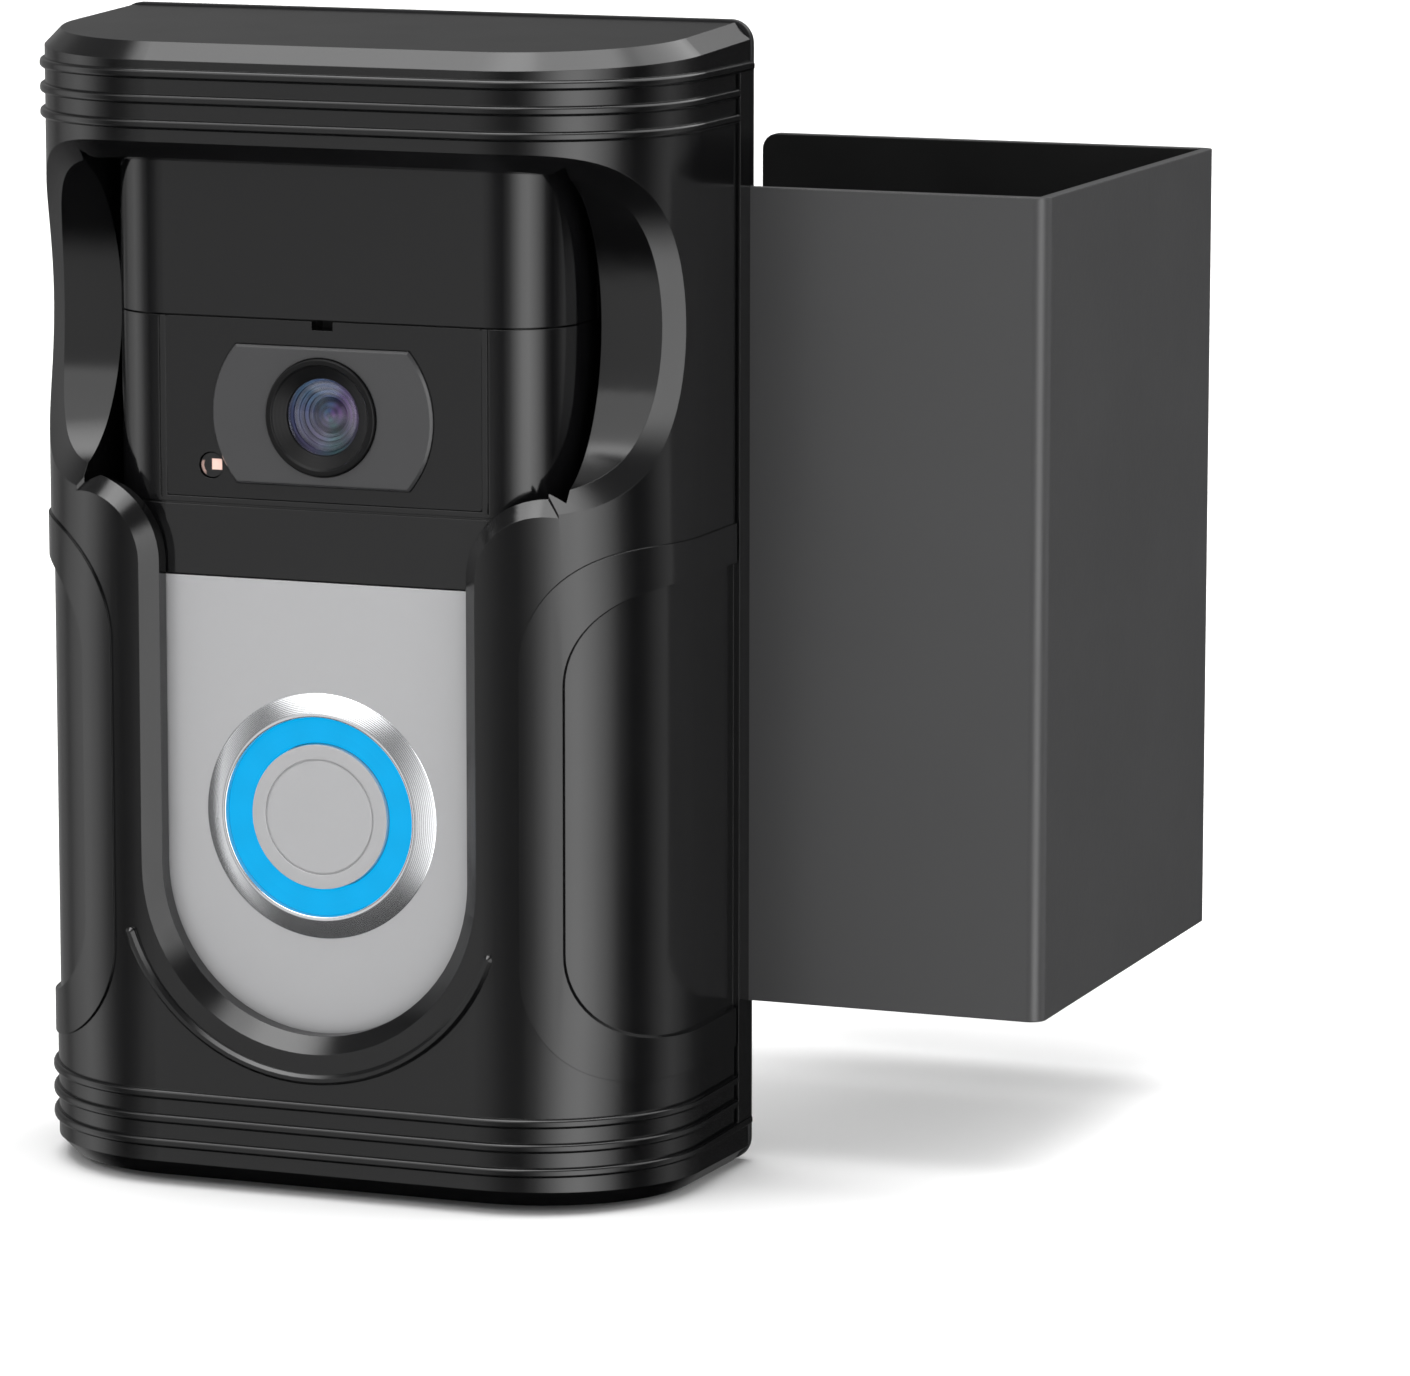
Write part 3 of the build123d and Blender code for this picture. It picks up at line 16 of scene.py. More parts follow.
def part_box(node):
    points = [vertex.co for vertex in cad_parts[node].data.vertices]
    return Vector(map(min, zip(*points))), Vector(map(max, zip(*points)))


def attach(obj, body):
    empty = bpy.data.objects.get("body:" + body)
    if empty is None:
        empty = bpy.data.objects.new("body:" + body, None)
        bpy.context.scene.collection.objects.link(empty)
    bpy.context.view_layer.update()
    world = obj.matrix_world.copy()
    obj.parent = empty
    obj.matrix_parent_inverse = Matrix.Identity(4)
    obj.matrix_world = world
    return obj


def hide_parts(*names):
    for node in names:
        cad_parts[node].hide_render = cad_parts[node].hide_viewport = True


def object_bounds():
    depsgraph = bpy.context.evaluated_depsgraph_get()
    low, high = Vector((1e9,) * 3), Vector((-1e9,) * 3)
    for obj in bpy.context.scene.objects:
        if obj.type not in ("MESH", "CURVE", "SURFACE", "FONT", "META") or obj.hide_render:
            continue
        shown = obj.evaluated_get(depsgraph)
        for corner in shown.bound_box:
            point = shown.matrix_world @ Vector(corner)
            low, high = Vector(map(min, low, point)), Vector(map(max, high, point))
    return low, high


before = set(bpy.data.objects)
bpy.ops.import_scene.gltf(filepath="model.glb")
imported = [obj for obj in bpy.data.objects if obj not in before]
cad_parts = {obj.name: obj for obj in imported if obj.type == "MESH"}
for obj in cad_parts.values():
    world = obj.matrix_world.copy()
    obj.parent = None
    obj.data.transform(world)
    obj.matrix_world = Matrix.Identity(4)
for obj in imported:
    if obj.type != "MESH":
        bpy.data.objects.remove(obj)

CAD_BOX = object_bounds()
MM = 0.001
LOG = logging.getLogger("doorbell")

Colour = tuple[float, float, float]
Point = tuple[float, float, float]
Outline = list[tuple[float, float]]
Faces = list[tuple[int, ...]]
Hole = tuple[float, float, float]
Ramp = tuple[float, float]
Socket = bpy.types.NodeSocket
Heights = list[tuple[Socket, float]]
SHARP_ANGLE = math.radians(32)
TOUCHING = 1e-7
HOLE_STEPS = 32
CORNER_STEPS = 8
DOME_STEPS = 16
ELEMENT_STEPS = 8
LENS_STEPS = 96


class Slot(Enum):
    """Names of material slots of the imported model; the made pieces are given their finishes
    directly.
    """

    ZINC = "zinc_steel"
    FOAM = "foam"
    RUBBER = "black_rubber"
    SILVER = "satin_silver"
    CHROME = "chrome"
    LIGHT = "blue_light"
    BARREL = "barrel_black"
    GLASS = "lens_glass"


# ---------------------------------------------------------------- finishes
class Tree:
    """A material's node tree with short ways to add and join nodes."""

    def __init__(self, name: str) -> None:
        """Start an empty material whose output takes one Principled shader.

        Args:
            name: The material's name.
        """
        self.material = bpy.data.materials.new(name)
        self.material.use_nodes = True
        self.nodes = self.material.node_tree.nodes
        self.links = self.material.node_tree.links
        self.shader = self.nodes["Principled BSDF"]
        self.place = self.add("ShaderNodeTexCoord").outputs["Object"]

    def add(self, kind: str, **settings: object) -> bpy.types.Node:
        """Add a node.

        Args:
            kind: Blender's name of the node type.
            **settings: Properties to set on the node.

        Returns:
            The new node.
        """
        node = self.nodes.new(kind)
        for name, value in settings.items():
            setattr(node, name, value)
        return node

    def join(self, source: Socket, target: Socket) -> None:
        """Link an output to an input."""
        self.links.new(source, target)

    def put(self, **values: object) -> None:
        """Set plain values on the shader's own sockets; an underscore stands for a space."""
        for name, value in values.items():
            self.shader.inputs[name.replace("_", " ")].default_value = value

    def offset(self, centre: Point) -> Socket:
        """The way from a point to the shaded place, as a vector."""
        away = self.add("ShaderNodeVectorMath", operation="SUBTRACT")
        away.inputs[1].default_value = centre
        self.join(self.place, away.inputs[0])
        return away.outputs[0]

    def parts(self, vector: Socket) -> list[Socket]:
        """A vector's X, Y and Z."""
        split = self.add("ShaderNodeSeparateXYZ")
        self.join(vector, split.inputs[0])
        return list(split.outputs)

    def noise(self, size: float, detail: float = 2.0) -> Socket:
        """Noise whose blotches are about one size.

        Args:
            size: Width of a blotch in metres.
            detail: How many finer layers are added.

        Returns:
            The noise's value, from 0 to 1.
        """
        node = self.add("ShaderNodeTexNoise")
        node.inputs["Scale"].default_value = 1.0 / size
        node.inputs["Detail"].default_value = detail
        self.join(self.place, node.inputs["Vector"])
        return node.outputs["Fac"]

    def cells(self, size: float, feature: str = "F1") -> Socket:
        """Distance to the nearest of scattered points.

        Args:
            size: Spacing of the points in metres.
            feature: Which distance Blender's Voronoi texture gives.

        Returns:
            The distance, in cells.
        """
        node = self.add("ShaderNodeTexVoronoi", feature=feature)
        node.inputs["Scale"].default_value = 1.0 / size
        self.join(self.place, node.inputs["Vector"])
        return node.outputs["Distance"]

    def scaled(self, value: Socket, low: float, high: float,
               start: float = 0.3, end: float = 0.7) -> Socket:
        """Map a value's range onto another.

        Args:
            value: What is read.
            low: Result at start.
            high: Result at end.
            start: Value that gives low.
            end: Value that gives high.

        Returns:
            The mapped value.
        """
        node = self.add("ShaderNodeMapRange")
        limits = {"From Min": start, "From Max": end, "To Min": low, "To Max": high}
        for name, number in limits.items():
            node.inputs[name].default_value = number
        self.join(value, node.inputs["Value"])
        return node.outputs["Result"]

    def math(self, operation: str, a: Socket, b: "Socket | float" = 0.0) -> Socket:
        """Join two numbers by one sum.

        Args:
            operation: Blender's name of the sum.
            a: First value.
            b: Second value or a plain number, unused where the sum takes one value.

        Returns:
            The result.
        """
        node = self.add("ShaderNodeMath", operation=operation)
        self.join(a, node.inputs[0])
        if isinstance(b, (int, float)):
            node.inputs[1].default_value = b
        else:
            self.join(b, node.inputs[1])
        return node.outputs[0]

    def blend(self, share: Socket, first: "Socket | Colour", second: Colour) -> Socket:
        """Mix two colours.

        Args:
            share: How much of the second colour, from 0 to 1.
            first: Colour at 0, plain or from another node.
            second: Colour at 1.

        Returns:
            The mixed colour.
        """
        node = self.add("ShaderNodeMix", data_type="RGBA")
        for socket, colour in zip([s for s in node.inputs if s.type == "RGBA"], (first, second)):
            if isinstance(colour, tuple):
                socket.default_value = (*colour, 1.0)
            else:
                self.join(colour, socket)
        self.join(share, node.inputs["Factor"])
        return next(s for s in node.outputs if s.type == "RGBA")

    def relief(self, heights: Heights, edge: float = 0.0) -> None:
        """Give the shader fine surface relief and softened edges.

        Args:
            heights: Pairs of a height from 0 to 1 and its depth in metres.
            edge: Radius that sharp edges are shown rounded by.
        """
        last = None
        if edge > 0:
            bevel = self.add("ShaderNodeBevel", samples=4)
            bevel.inputs["Radius"].default_value = edge
            last = bevel.outputs["Normal"]
        for height, depth in heights:
            bump = self.add("ShaderNodeBump")
            bump.inputs["Distance"].default_value = depth
            self.join(height, bump.inputs["Height"])
            if last is not None:
                self.join(last, bump.inputs["Normal"])
            last = bump.outputs["Normal"]
        if last is not None:
            self.join(last, self.shader.inputs["Normal"])


@dataclass(frozen=True)
class Finish:
    """A plain opaque finish: mottled colour, uneven polish and fine grain."""

    name: str
    colour: Colour
    roughness: float
    metallic: float = 0.0
    mottle: float = 0.12
    mottle_size: float = 0.02
    unevenness: float = 0.04
    grain_size: float = 0.0004
    grain_depth: float = 0.000004
    edge: float = 0.0002
    coat: float = 0.0
    coat_roughness: float = 0.08
    ior: float = 1.5

    def make(self) -> bpy.types.Material:
        """Build the material.

        Returns:
            The finished material.
        """
        tree = Tree(self.name)
        tree.put(Metallic=self.metallic, IOR=self.ior, Coat_Weight=self.coat,
                 Coat_Roughness=self.coat_roughness)
        self.dress(tree)
        return tree.material

    def shades(self) -> tuple[Colour, Colour]:
        """The darker and lighter ends of the mottled colour."""
        dark = tuple(c * (1 - self.mottle) for c in self.colour)
        light = tuple(min(1.0, c * (1 + self.mottle)) for c in self.colour)
        return dark, light

    def dress(self, tree: Tree) -> None:
        """Add colour, polish and relief.

        Args:
            tree: The material's nodes.
        """
        patches = tree.noise(self.mottle_size)
        tree.join(tree.blend(patches, *self.shades()), tree.shader.inputs["Base Color"])
        polish = tree.noise(self.mottle_size * 0.35, detail=4.0)
        low, high = self.roughness - self.unevenness, self.roughness + self.unevenness
        tree.join(tree.scaled(polish, low, high), tree.shader.inputs["Roughness"])
        tree.relief(self.heights(tree), self.edge)

    def heights(self, tree: Tree) -> Heights:
        """The relief's layers: here one fine noise."""
        return [(tree.noise(self.grain_size), self.grain_depth)]


@dataclass(frozen=True)
class PowderCoat(Finish):
    """Sprayed and baked coating with a faint orange peel."""

    peel_size: float = 0.0012
    peel_depth: float = 0.00002

    def heights(self, tree: Tree) -> Heights:
        """Orange peel under the fine grain."""
        peel = tree.cells(self.peel_size, "SMOOTH_F1")
        return [(peel, self.peel_depth), (tree.noise(self.grain_size), self.grain_depth)]


@dataclass(frozen=True)
class ShadedInsideCoat(PowderCoat):
    """Powder coat on a bent sheet, with painted shade on its inside faces between the flanges."""

    # inside: colour of the painted shade on the faces inside the bent sheet
    inside: Colour = (0.004, 0.004, 0.004)
    web: float = 0.0
    near: float = 0.0
    far: float = 0.0

    def dress(self, tree: Tree) -> None:
        """Add the coat, then paint shade on the inside faces between the two flanges.

        Args:
            tree: The material's nodes.
        """
        super().dress(tree)
        x, y, _ = tree.parts(tree.place)
        # painted shade: a box mask that picks the faces inside the U and darkens them
        painted_shade_mask = tree.math("LESS_THAN", x, self.web)
        painted_shade_mask = tree.math("MULTIPLY", painted_shade_mask, tree.math("GREATER_THAN", y, self.near))
        painted_shade_mask = tree.math("MULTIPLY", painted_shade_mask, tree.math("LESS_THAN", y, self.far))
        base = tree.shader.inputs["Base Color"]
        tree.join(tree.blend(painted_shade_mask, base.links[0].from_socket, self.inside), base)


@dataclass(frozen=True)
class Foam(Finish):
    """Closed cell foam with open pores at its cut skin."""

    pore_size: float = 0.0009
    pore_depth: float = 0.0002

    def heights(self, tree: Tree) -> Heights:
        """Pores of two sizes."""
        small = tree.cells(self.pore_size * 0.45)
        return [(tree.cells(self.pore_size), self.pore_depth), (small, self.pore_depth / 2)]


@dataclass(frozen=True)
class Turned(Finish):
    """Metal turned on a lathe: fine rings round an axis along Y."""

    centre: Point = (0.0, 0.0, 0.0)
    ring_size: float = 0.00022
    ring_depth: float = 0.000003

    def radius(self, tree: Tree) -> Socket:
        """Distance from the turning axis, in metres."""
        flat = tree.add("ShaderNodeVectorMath", operation="MULTIPLY")
        flat.inputs[1].default_value = (1.0, 0.0, 1.0)
        tree.join(tree.offset(self.centre), flat.inputs[0])
        length = tree.add("ShaderNodeVectorMath", operation="LENGTH")
        tree.join(flat.outputs[0], length.inputs[0])
        return length.outputs["Value"]

    def turn(self, tree: Tree) -> Socket:
        """Angle round the turning axis, in radians."""
        x, _, z = tree.parts(tree.offset(self.centre))
        return tree.math("ARCTAN2", z, x)

    def wave(self, tree: Tree, spacing: float) -> Socket:
        """A wave along the radius, from -1 to 1, with one crest to each spacing."""
        return tree.math("SINE", tree.math("MULTIPLY", self.radius(tree), math.tau / spacing))

    def heights(self, tree: Tree) -> Heights:
        """Rings, and the fine grain of the plating."""
        turns = self.wave(tree, self.ring_size)
        return [(turns, self.ring_depth), (tree.noise(self.grain_size), self.grain_depth)]


@dataclass(frozen=True)
class LitRing(Turned):
    """Milky plastic lit from behind by lamps spaced round a ring."""

    light: Colour = (0.0, 0.4, 0.8)
    glow: float = 1.0
    lamps: int = 12
    dimming: float = 0.02

    def dress(self, tree: Tree) -> None:
        """Add the glow, a little brighter over each lamp.

        Args:
            tree: The material's nodes.
        """
        super().dress(tree)
        wave = tree.math("COSINE", tree.math("MULTIPLY", self.turn(tree), float(self.lamps)))
        dim, lit = self.glow * (1 - self.dimming), self.glow * (1 + self.dimming)
        bright = tree.scaled(wave, dim, lit, -1.0, 1.0)
        tree.put(Emission_Color=(*self.light, 1.0))
        tree.join(bright, tree.shader.inputs["Emission Strength"])


@dataclass(frozen=True)
class PaintedReflectionLens(Turned):
    """Coated optics with painted reflections: coloured tints that change round the lens, and
    painted dark rings.
    """

    painted_reflection_tints: tuple[tuple[float, Colour], ...] = ()
    band: float = 0.0008
    contrast: float = 0.65
    painted_ring_colour: Colour = (0.01, 0.01, 0.02)

    def dress(self, tree: Tree) -> None:
        """Paint the coloured reflections by angle round the lens's axis, and dark rings by distance
        from it.

        Args:
            tree: The material's nodes.
        """
        super().dress(tree)
        # painted reflection: the coating's colours, set by angle round the axis
        ramp = tree.add("ShaderNodeValToRGB")
        ramp.color_ramp.interpolation = "EASE"
        stops = ramp.color_ramp.elements
        while len(stops) < len(self.painted_reflection_tints):
            stops.new(0.5)
        for stop, (position, reflection_tint) in zip(stops, self.painted_reflection_tints):
            stop.position = position
            stop.color = (*reflection_tint, 1.0)
        tree.join(tree.scaled(self.turn(tree), 0.0, 1.0, -math.pi, math.pi), ramp.inputs["Fac"])
        # painted dark rings, one to each band of radius
        dark = tree.scaled(self.wave(tree, self.band), 0.0, self.contrast, -1.0, 1.0)
        painted_reflection_tints = tree.blend(dark, ramp.outputs["Color"], self.painted_ring_colour)
        tree.join(painted_reflection_tints, tree.shader.inputs["Base Color"])


@dataclass(frozen=True)
class SensorWindow(Turned):
    """Dark round window with a painted square highlight and a painted glint on its rim."""

    # painted highlights: a pale square near the middle and a glint arc on the rim
    square_highlight: Colour = (0.86, 0.56, 0.48)
    glint: Colour = (0.34, 0.22, 0.19)
    square_highlight_at: tuple[float, float] = (0.00068, 0.00012)
    square_highlight_half: float = 0.00064
    glint_radius: float = 0.0013
    glint_half: float = 0.00013
    glint_left: tuple[float, float] = (0.75, 0.55)
    glint_top: tuple[float, float] = (0.3, 0.5)
    softness: float = 0.0001

    def dress(self, tree: Tree) -> None:
        """Paint the square highlight and the glint by place in the window.

        Args:
            tree: The material's nodes.
        """
        super().dress(tree)
        x, _, z = tree.parts(tree.offset(self.centre))
        across, along = (tree.math("ABSOLUTE", tree.math("SUBTRACT", place, square_highlight))
                         for place, square_highlight in zip((x, z), self.square_highlight_at))
        reach = tree.math("MAXIMUM", across, along)
        # painted highlight: the pale square
        square = tree.scaled(reach, 1.0, 0.0, self.square_highlight_half, self.square_highlight_half + self.softness)
        off = tree.math("ABSOLUTE", tree.math("SUBTRACT", self.radius(tree), self.glint_radius))
        ring = tree.scaled(off, 1.0, 0.0, self.glint_half, self.glint_half + self.softness)
        left = tree.scaled(x, 1.0, 0.0, *(-self.glint_radius * share for share in self.glint_left))
        low = tree.scaled(z, 1.0, 0.0, *(self.glint_radius * share for share in self.glint_top))
        # painted glint: the part of the rim ring at the lower left
        arc = tree.math("MULTIPLY", ring, tree.math("MULTIPLY", left, low))
        window = tree.blend(arc, self.colour, self.glint)
        tree.join(tree.blend(square, window, self.square_highlight), tree.shader.inputs["Base Color"])


@dataclass(frozen=True)
class ClearGlass(Finish):
    """Clear polished glass or plastic."""

    def make(self) -> bpy.types.Material:
        """Build the material.

        Returns:
            The finished material.
        """
        material = super().make()
        shader = material.node_tree.nodes["Principled BSDF"]
        shader.inputs["Transmission Weight"].default_value = 1.0
        return material


@dataclass(frozen=True)
class CircuitBoard(Finish):
    """Solder mask over copper tracks."""

    track_size: float = 0.0014

    def dress(self, tree: Tree) -> None:
        """Add tracks as a slightly lighter, raised web.

        Args:
            tree: The material's nodes.
        """
        grid = tree.add("ShaderNodeTexBrick")
        grid.inputs["Scale"].default_value = 1.0 / (self.track_size * 4)
        grid.inputs["Mortar Size"].default_value = 0.03
        turned = tree.add("ShaderNodeVectorRotate", rotation_type="X_AXIS")
        turned.inputs["Angle"].default_value = math.radians(90)
        tree.join(tree.place, turned.inputs["Vector"])
        tree.join(turned.outputs[0], grid.inputs["Vector"])
        mask = grid.outputs["Fac"]
        tree.join(tree.blend(mask, *self.shades()), tree.shader.inputs["Base Color"])
        tree.join(tree.scaled(tree.noise(self.mottle_size), self.roughness - self.unevenness,
                              self.roughness + self.unevenness), tree.shader.inputs["Roughness"])
        tree.relief([(mask, 0.00003)], self.edge)


# ---------------------------------------------------------------- mesh making
def new_piece(name: str, mesh_data: tuple[list[Point], Faces], finish: bpy.types.Material,
              body: str, stands_for: tuple[str, ...]) -> None:
    """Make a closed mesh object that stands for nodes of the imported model.

    Args:
        name: The piece's name.
        mesh_data: Its vertices, and its faces as vertex numbers.
        finish: Its material.
        body: Body it rides on.
        stands_for: Nodes it replaces.
    """
    points, faces = mesh_data
    mesh = bpy.data.meshes.new(name)
    mesh.from_pydata(points, [], faces)
    mesh.validate()
    piece = bpy.data.objects.new(name, mesh)
    bpy.context.scene.collection.objects.link(piece)
    settle(piece, finish, body, stands_for)
    outward(piece)


def settle(piece: bpy.types.Object, finish: bpy.types.Material, body: str,
           stands_for: tuple[str, ...]) -> None:
    """Dress a piece, put it on its body and hide what it stands for.

    Args:
        piece: The mesh object.
        finish: Its material.
        body: Body it rides on.
        stands_for: Nodes it replaces.
    """
    piece.data.materials.clear()
    piece.data.materials.append(finish)
    piece.data.polygons.foreach_set("use_smooth", [True] * len(piece.data.polygons))
    piece.data.set_sharp_from_angle(angle=SHARP_ANGLE)
    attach(piece, body)
    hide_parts(*stands_for)
    LOG.info("%s: %d faces on %s", piece.name, len(piece.data.polygons), body)


def rounded(profile: Outline, radius: float, steps: int = 4) -> Outline:
    """Round every corner of a closed outline.

    Args:
        profile: Corner points in order.
        radius: Radius of the rounding, less where an edge is short.
        steps: Segments in each corner.

    Returns:
        The outline with its corners rounded.
    """
    out = []
    for i, corner in enumerate(profile):
        here = Vector(corner)
        before = Vector(profile[i - 1]) - here
        after = Vector(profile[(i + 1) % len(profile)]) - here
        cut = min(radius, before.length * 0.45, after.length * 0.45)
        start, end = here + before.normalized() * cut, here + after.normalized() * cut
        for k in range(steps + 1):
            t = k / steps
            point = start * (1 - t) ** 2 + here * 2 * t * (1 - t) + end * t ** 2
            out.append((point.x, point.y))
    return out


def turned_mesh(profile: Outline, centre: Point, steps: int = 128) -> tuple[list[Point], Faces]:
    """Turn a closed outline round an axis along Y.

    Args:
        profile: Outline as pairs of radius and Y. A radius of 0 lies on the axis.
        centre: A point on the axis; its Y isn't used.
        steps: Segments round the axis.

    Returns:
        Vertices and faces.
    """
    points: list[Point] = []
    rings: list[list[int]] = []
    for radius, y in profile:
        if radius < TOUCHING:
            points.append((centre[0], y, centre[2]))
            rings.append([len(points) - 1] * steps)
            continue
        start = len(points)
        for k in range(steps):
            turn = 2 * math.pi * k / steps
            across, along = radius * math.cos(turn), radius * math.sin(turn)
            points.append((centre[0] + across, y, centre[2] + along))
        rings.append(list(range(start, start + steps)))
    faces = []
    for i, ring in enumerate(rings):
        after = rings[(i + 1) % len(rings)]
        for k in range(steps):
            m = (k + 1) % steps
            corners = [ring[k], ring[m], after[m], after[k]]
            face = tuple(dict.fromkeys(corners))
            if len(face) > 2:
                faces.append(face)
    return points, faces


def outward(piece: bpy.types.Object) -> None:
    """Turn all of a closed piece's faces outwards."""
    shape = bmesh.new()
    shape.from_mesh(piece.data)
    bmesh.ops.remove_doubles(shape, verts=shape.verts, dist=TOUCHING)
    bmesh.ops.recalc_face_normals(shape, faces=shape.faces)
    shape.to_mesh(piece.data)
    shape.free()


def middle(node: str) -> Vector:
    """Centre of a node's box."""
    low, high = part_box(node)
    return (low + high) / 2


def dress_nodes(finish: Finish, *nodes: str) -> None:
    """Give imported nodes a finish.

    Args:
        finish: The finish.
        *nodes: Names of the nodes.
    """
    material = finish.make()
    for name in nodes:
        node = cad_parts[name]
        if not node.data.materials:
            node.data.materials.append(material)
        for place in node.material_slots:
            place.material = material
        LOG.info("%s: %s", name, finish.name)


# ---------------------------------------------------------------- the object
@dataclass
class Cage:
    """Moulded hood with its back plate, pads and screws."""

    pad_edge: float = 0.45 * MM
    door_corner: float = 3.0 * MM
    flange_corner: float = 2.0 * MM
    head_spread: float = 8.0 * MM
    head_gap: float = 0.8 * MM

    def build(self) -> None:
        """Dress the cage's nodes and make its foam pads."""
        dress_nodes(Finish(
            "moulded_black", (0.0032, 0.0032, 0.0034), 0.16, mottle=0.2, mottle_size=0.03,
            unevenness=0.02, grain_size=0.0005, grain_depth=0.0000012, edge=0.00010), "cage_shell")
        dress_nodes(PowderCoat("plate_coat", (0.012, 0.012, 0.013), 0.36, peel_depth=0.000012),
                    "back_plate")
        dress_nodes(Finish("knurled_brass", (0.62, 0.42, 0.16), 0.3, metallic=1.0,
                           grain_size=0.0006, grain_depth=0.00006), "cage_inserts")
        dress_nodes(Finish("zinc", (0.42, 0.43, 0.46), 0.32, metallic=1.0, mottle=0.25,
                           mottle_size=0.004),
                    "cage_screws", "mount_screws", "plate_standoffs", "housing_screws",
                    "security_screws", "terminal_screws", "board_screws", "clamp_nuts")
        self.pads()

    def pads(self) -> None:
        """Foam against the door behind the plate and behind the bracket's flange."""
        foam = Foam("door_foam", (0.016, 0.016, 0.017), 0.85, mottle=0.3, mottle_size=0.006,
                    unevenness=0.08, edge=0.0).make()
        low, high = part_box("door_pad")
        pad = Pad(low, high, self.door_corner, self.pad_edge, self.screw_holes())
        pad.make("door_foam_pad", foam, Slot.FOAM, "cage", "door_pad")
        low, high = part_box("flange_pad")
        pad = Pad(low, high, self.flange_corner, self.pad_edge)
        pad.make("flange_foam_pad", foam, Slot.FOAM, "cage", "flange_pad")

    def screw_holes(self) -> list[Hole]:
        """Where the door pad is cut away round the cage's screw heads.

        Returns:
            X, Z and radius of each hole.
        """
        cells: dict[tuple[int, int], list[Vector]] = {}
        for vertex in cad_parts["cage_screws"].data.vertices:
            key = (round(vertex.co.x * 100), round(vertex.co.z * 50))
            cells.setdefault(key, []).append(vertex.co)
        groups: list[list[Vector]] = []
        for points in cells.values():
            for group in groups:
                if (group[0].xz - points[0].xz).length < self.head_spread:
                    group.extend(points)
                    break
            else:
                groups.append(list(points))
        holes = []
        for group in groups:
            x = (min(p.x for p in group) + max(p.x for p in group)) / 2
            z = (min(p.z for p in group) + max(p.z for p in group)) / 2
            reach = max(p.x for p in group) - x
            holes.append((x, z, reach + self.head_gap))
        return holes


@dataclass
class Pad:
    """A die cut pad: a rounded rectangle with soft edges and round holes."""

    low: Vector
    high: Vector
    corner: float
    edge: float
    holes: list[Hole] = field(default_factory=list)
    least_corner: float = 0.2 * MM

    def outline(self) -> Outline:
        """The pad's outline, drawn in by the soft edge."""
        x0, x1 = self.low.x + self.edge, self.high.x - self.edge
        z0, z1 = self.low.z + self.edge, self.high.z - self.edge
        turn = max(self.corner - self.edge, self.least_corner)
        points = []
        for cx, cz, start in ((x1 - turn, z1 - turn, 0), (x0 + turn, z1 - turn, 90),
                              (x0 + turn, z0 + turn, 180), (x1 - turn, z0 + turn, 270)):
            for k in range(CORNER_STEPS + 1):
                angle = math.radians(start + 90 * k / CORNER_STEPS)
                points.append((cx + turn * math.cos(angle), cz + turn * math.sin(angle)))
        return points

    def make(self, name: str, finish: bpy.types.Material, slot: Slot, body: str,
             node: str) -> None:
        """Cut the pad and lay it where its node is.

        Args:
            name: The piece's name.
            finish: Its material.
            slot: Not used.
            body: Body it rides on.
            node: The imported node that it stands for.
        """
        curve = bpy.data.curves.new(name, "CURVE")
        curve.dimensions = "2D"
        curve.fill_mode = "BOTH"
        loops = [self.outline()]
        turns = [math.tau * k / HOLE_STEPS for k in range(HOLE_STEPS)]
        for x, z, radius in self.holes:
            reach = radius + self.edge
            loops.append([(x + reach * math.cos(a), z - reach * math.sin(a)) for a in turns])
        for loop in loops:
            spline = curve.splines.new("POLY")
            spline.points.add(len(loop) - 1)
            for point, (x, z) in zip(spline.points, loop):
                point.co = (x, z, 0.0, 1.0)
            spline.use_cyclic_u = True
        curve.extrude = (self.high.y - self.low.y) / 2 - self.edge
        curve.bevel_depth = self.edge
        curve.bevel_resolution = 3
        shape = bpy.data.objects.new(name + "_outline", curve)
        bpy.context.scene.collection.objects.link(shape)
        bpy.context.view_layer.update()
        mesh = bpy.data.meshes.new_from_object(shape)
        bpy.data.objects.remove(shape)
        piece = bpy.data.objects.new(name, mesh)
        bpy.context.scene.collection.objects.link(piece)
        across = (self.low.y + self.high.y) / 2
        for vertex in mesh.vertices:
            x, z, y = vertex.co
            vertex.co = (x, across + y, z)
        outward(piece)
        settle(piece, finish, body, (node,))


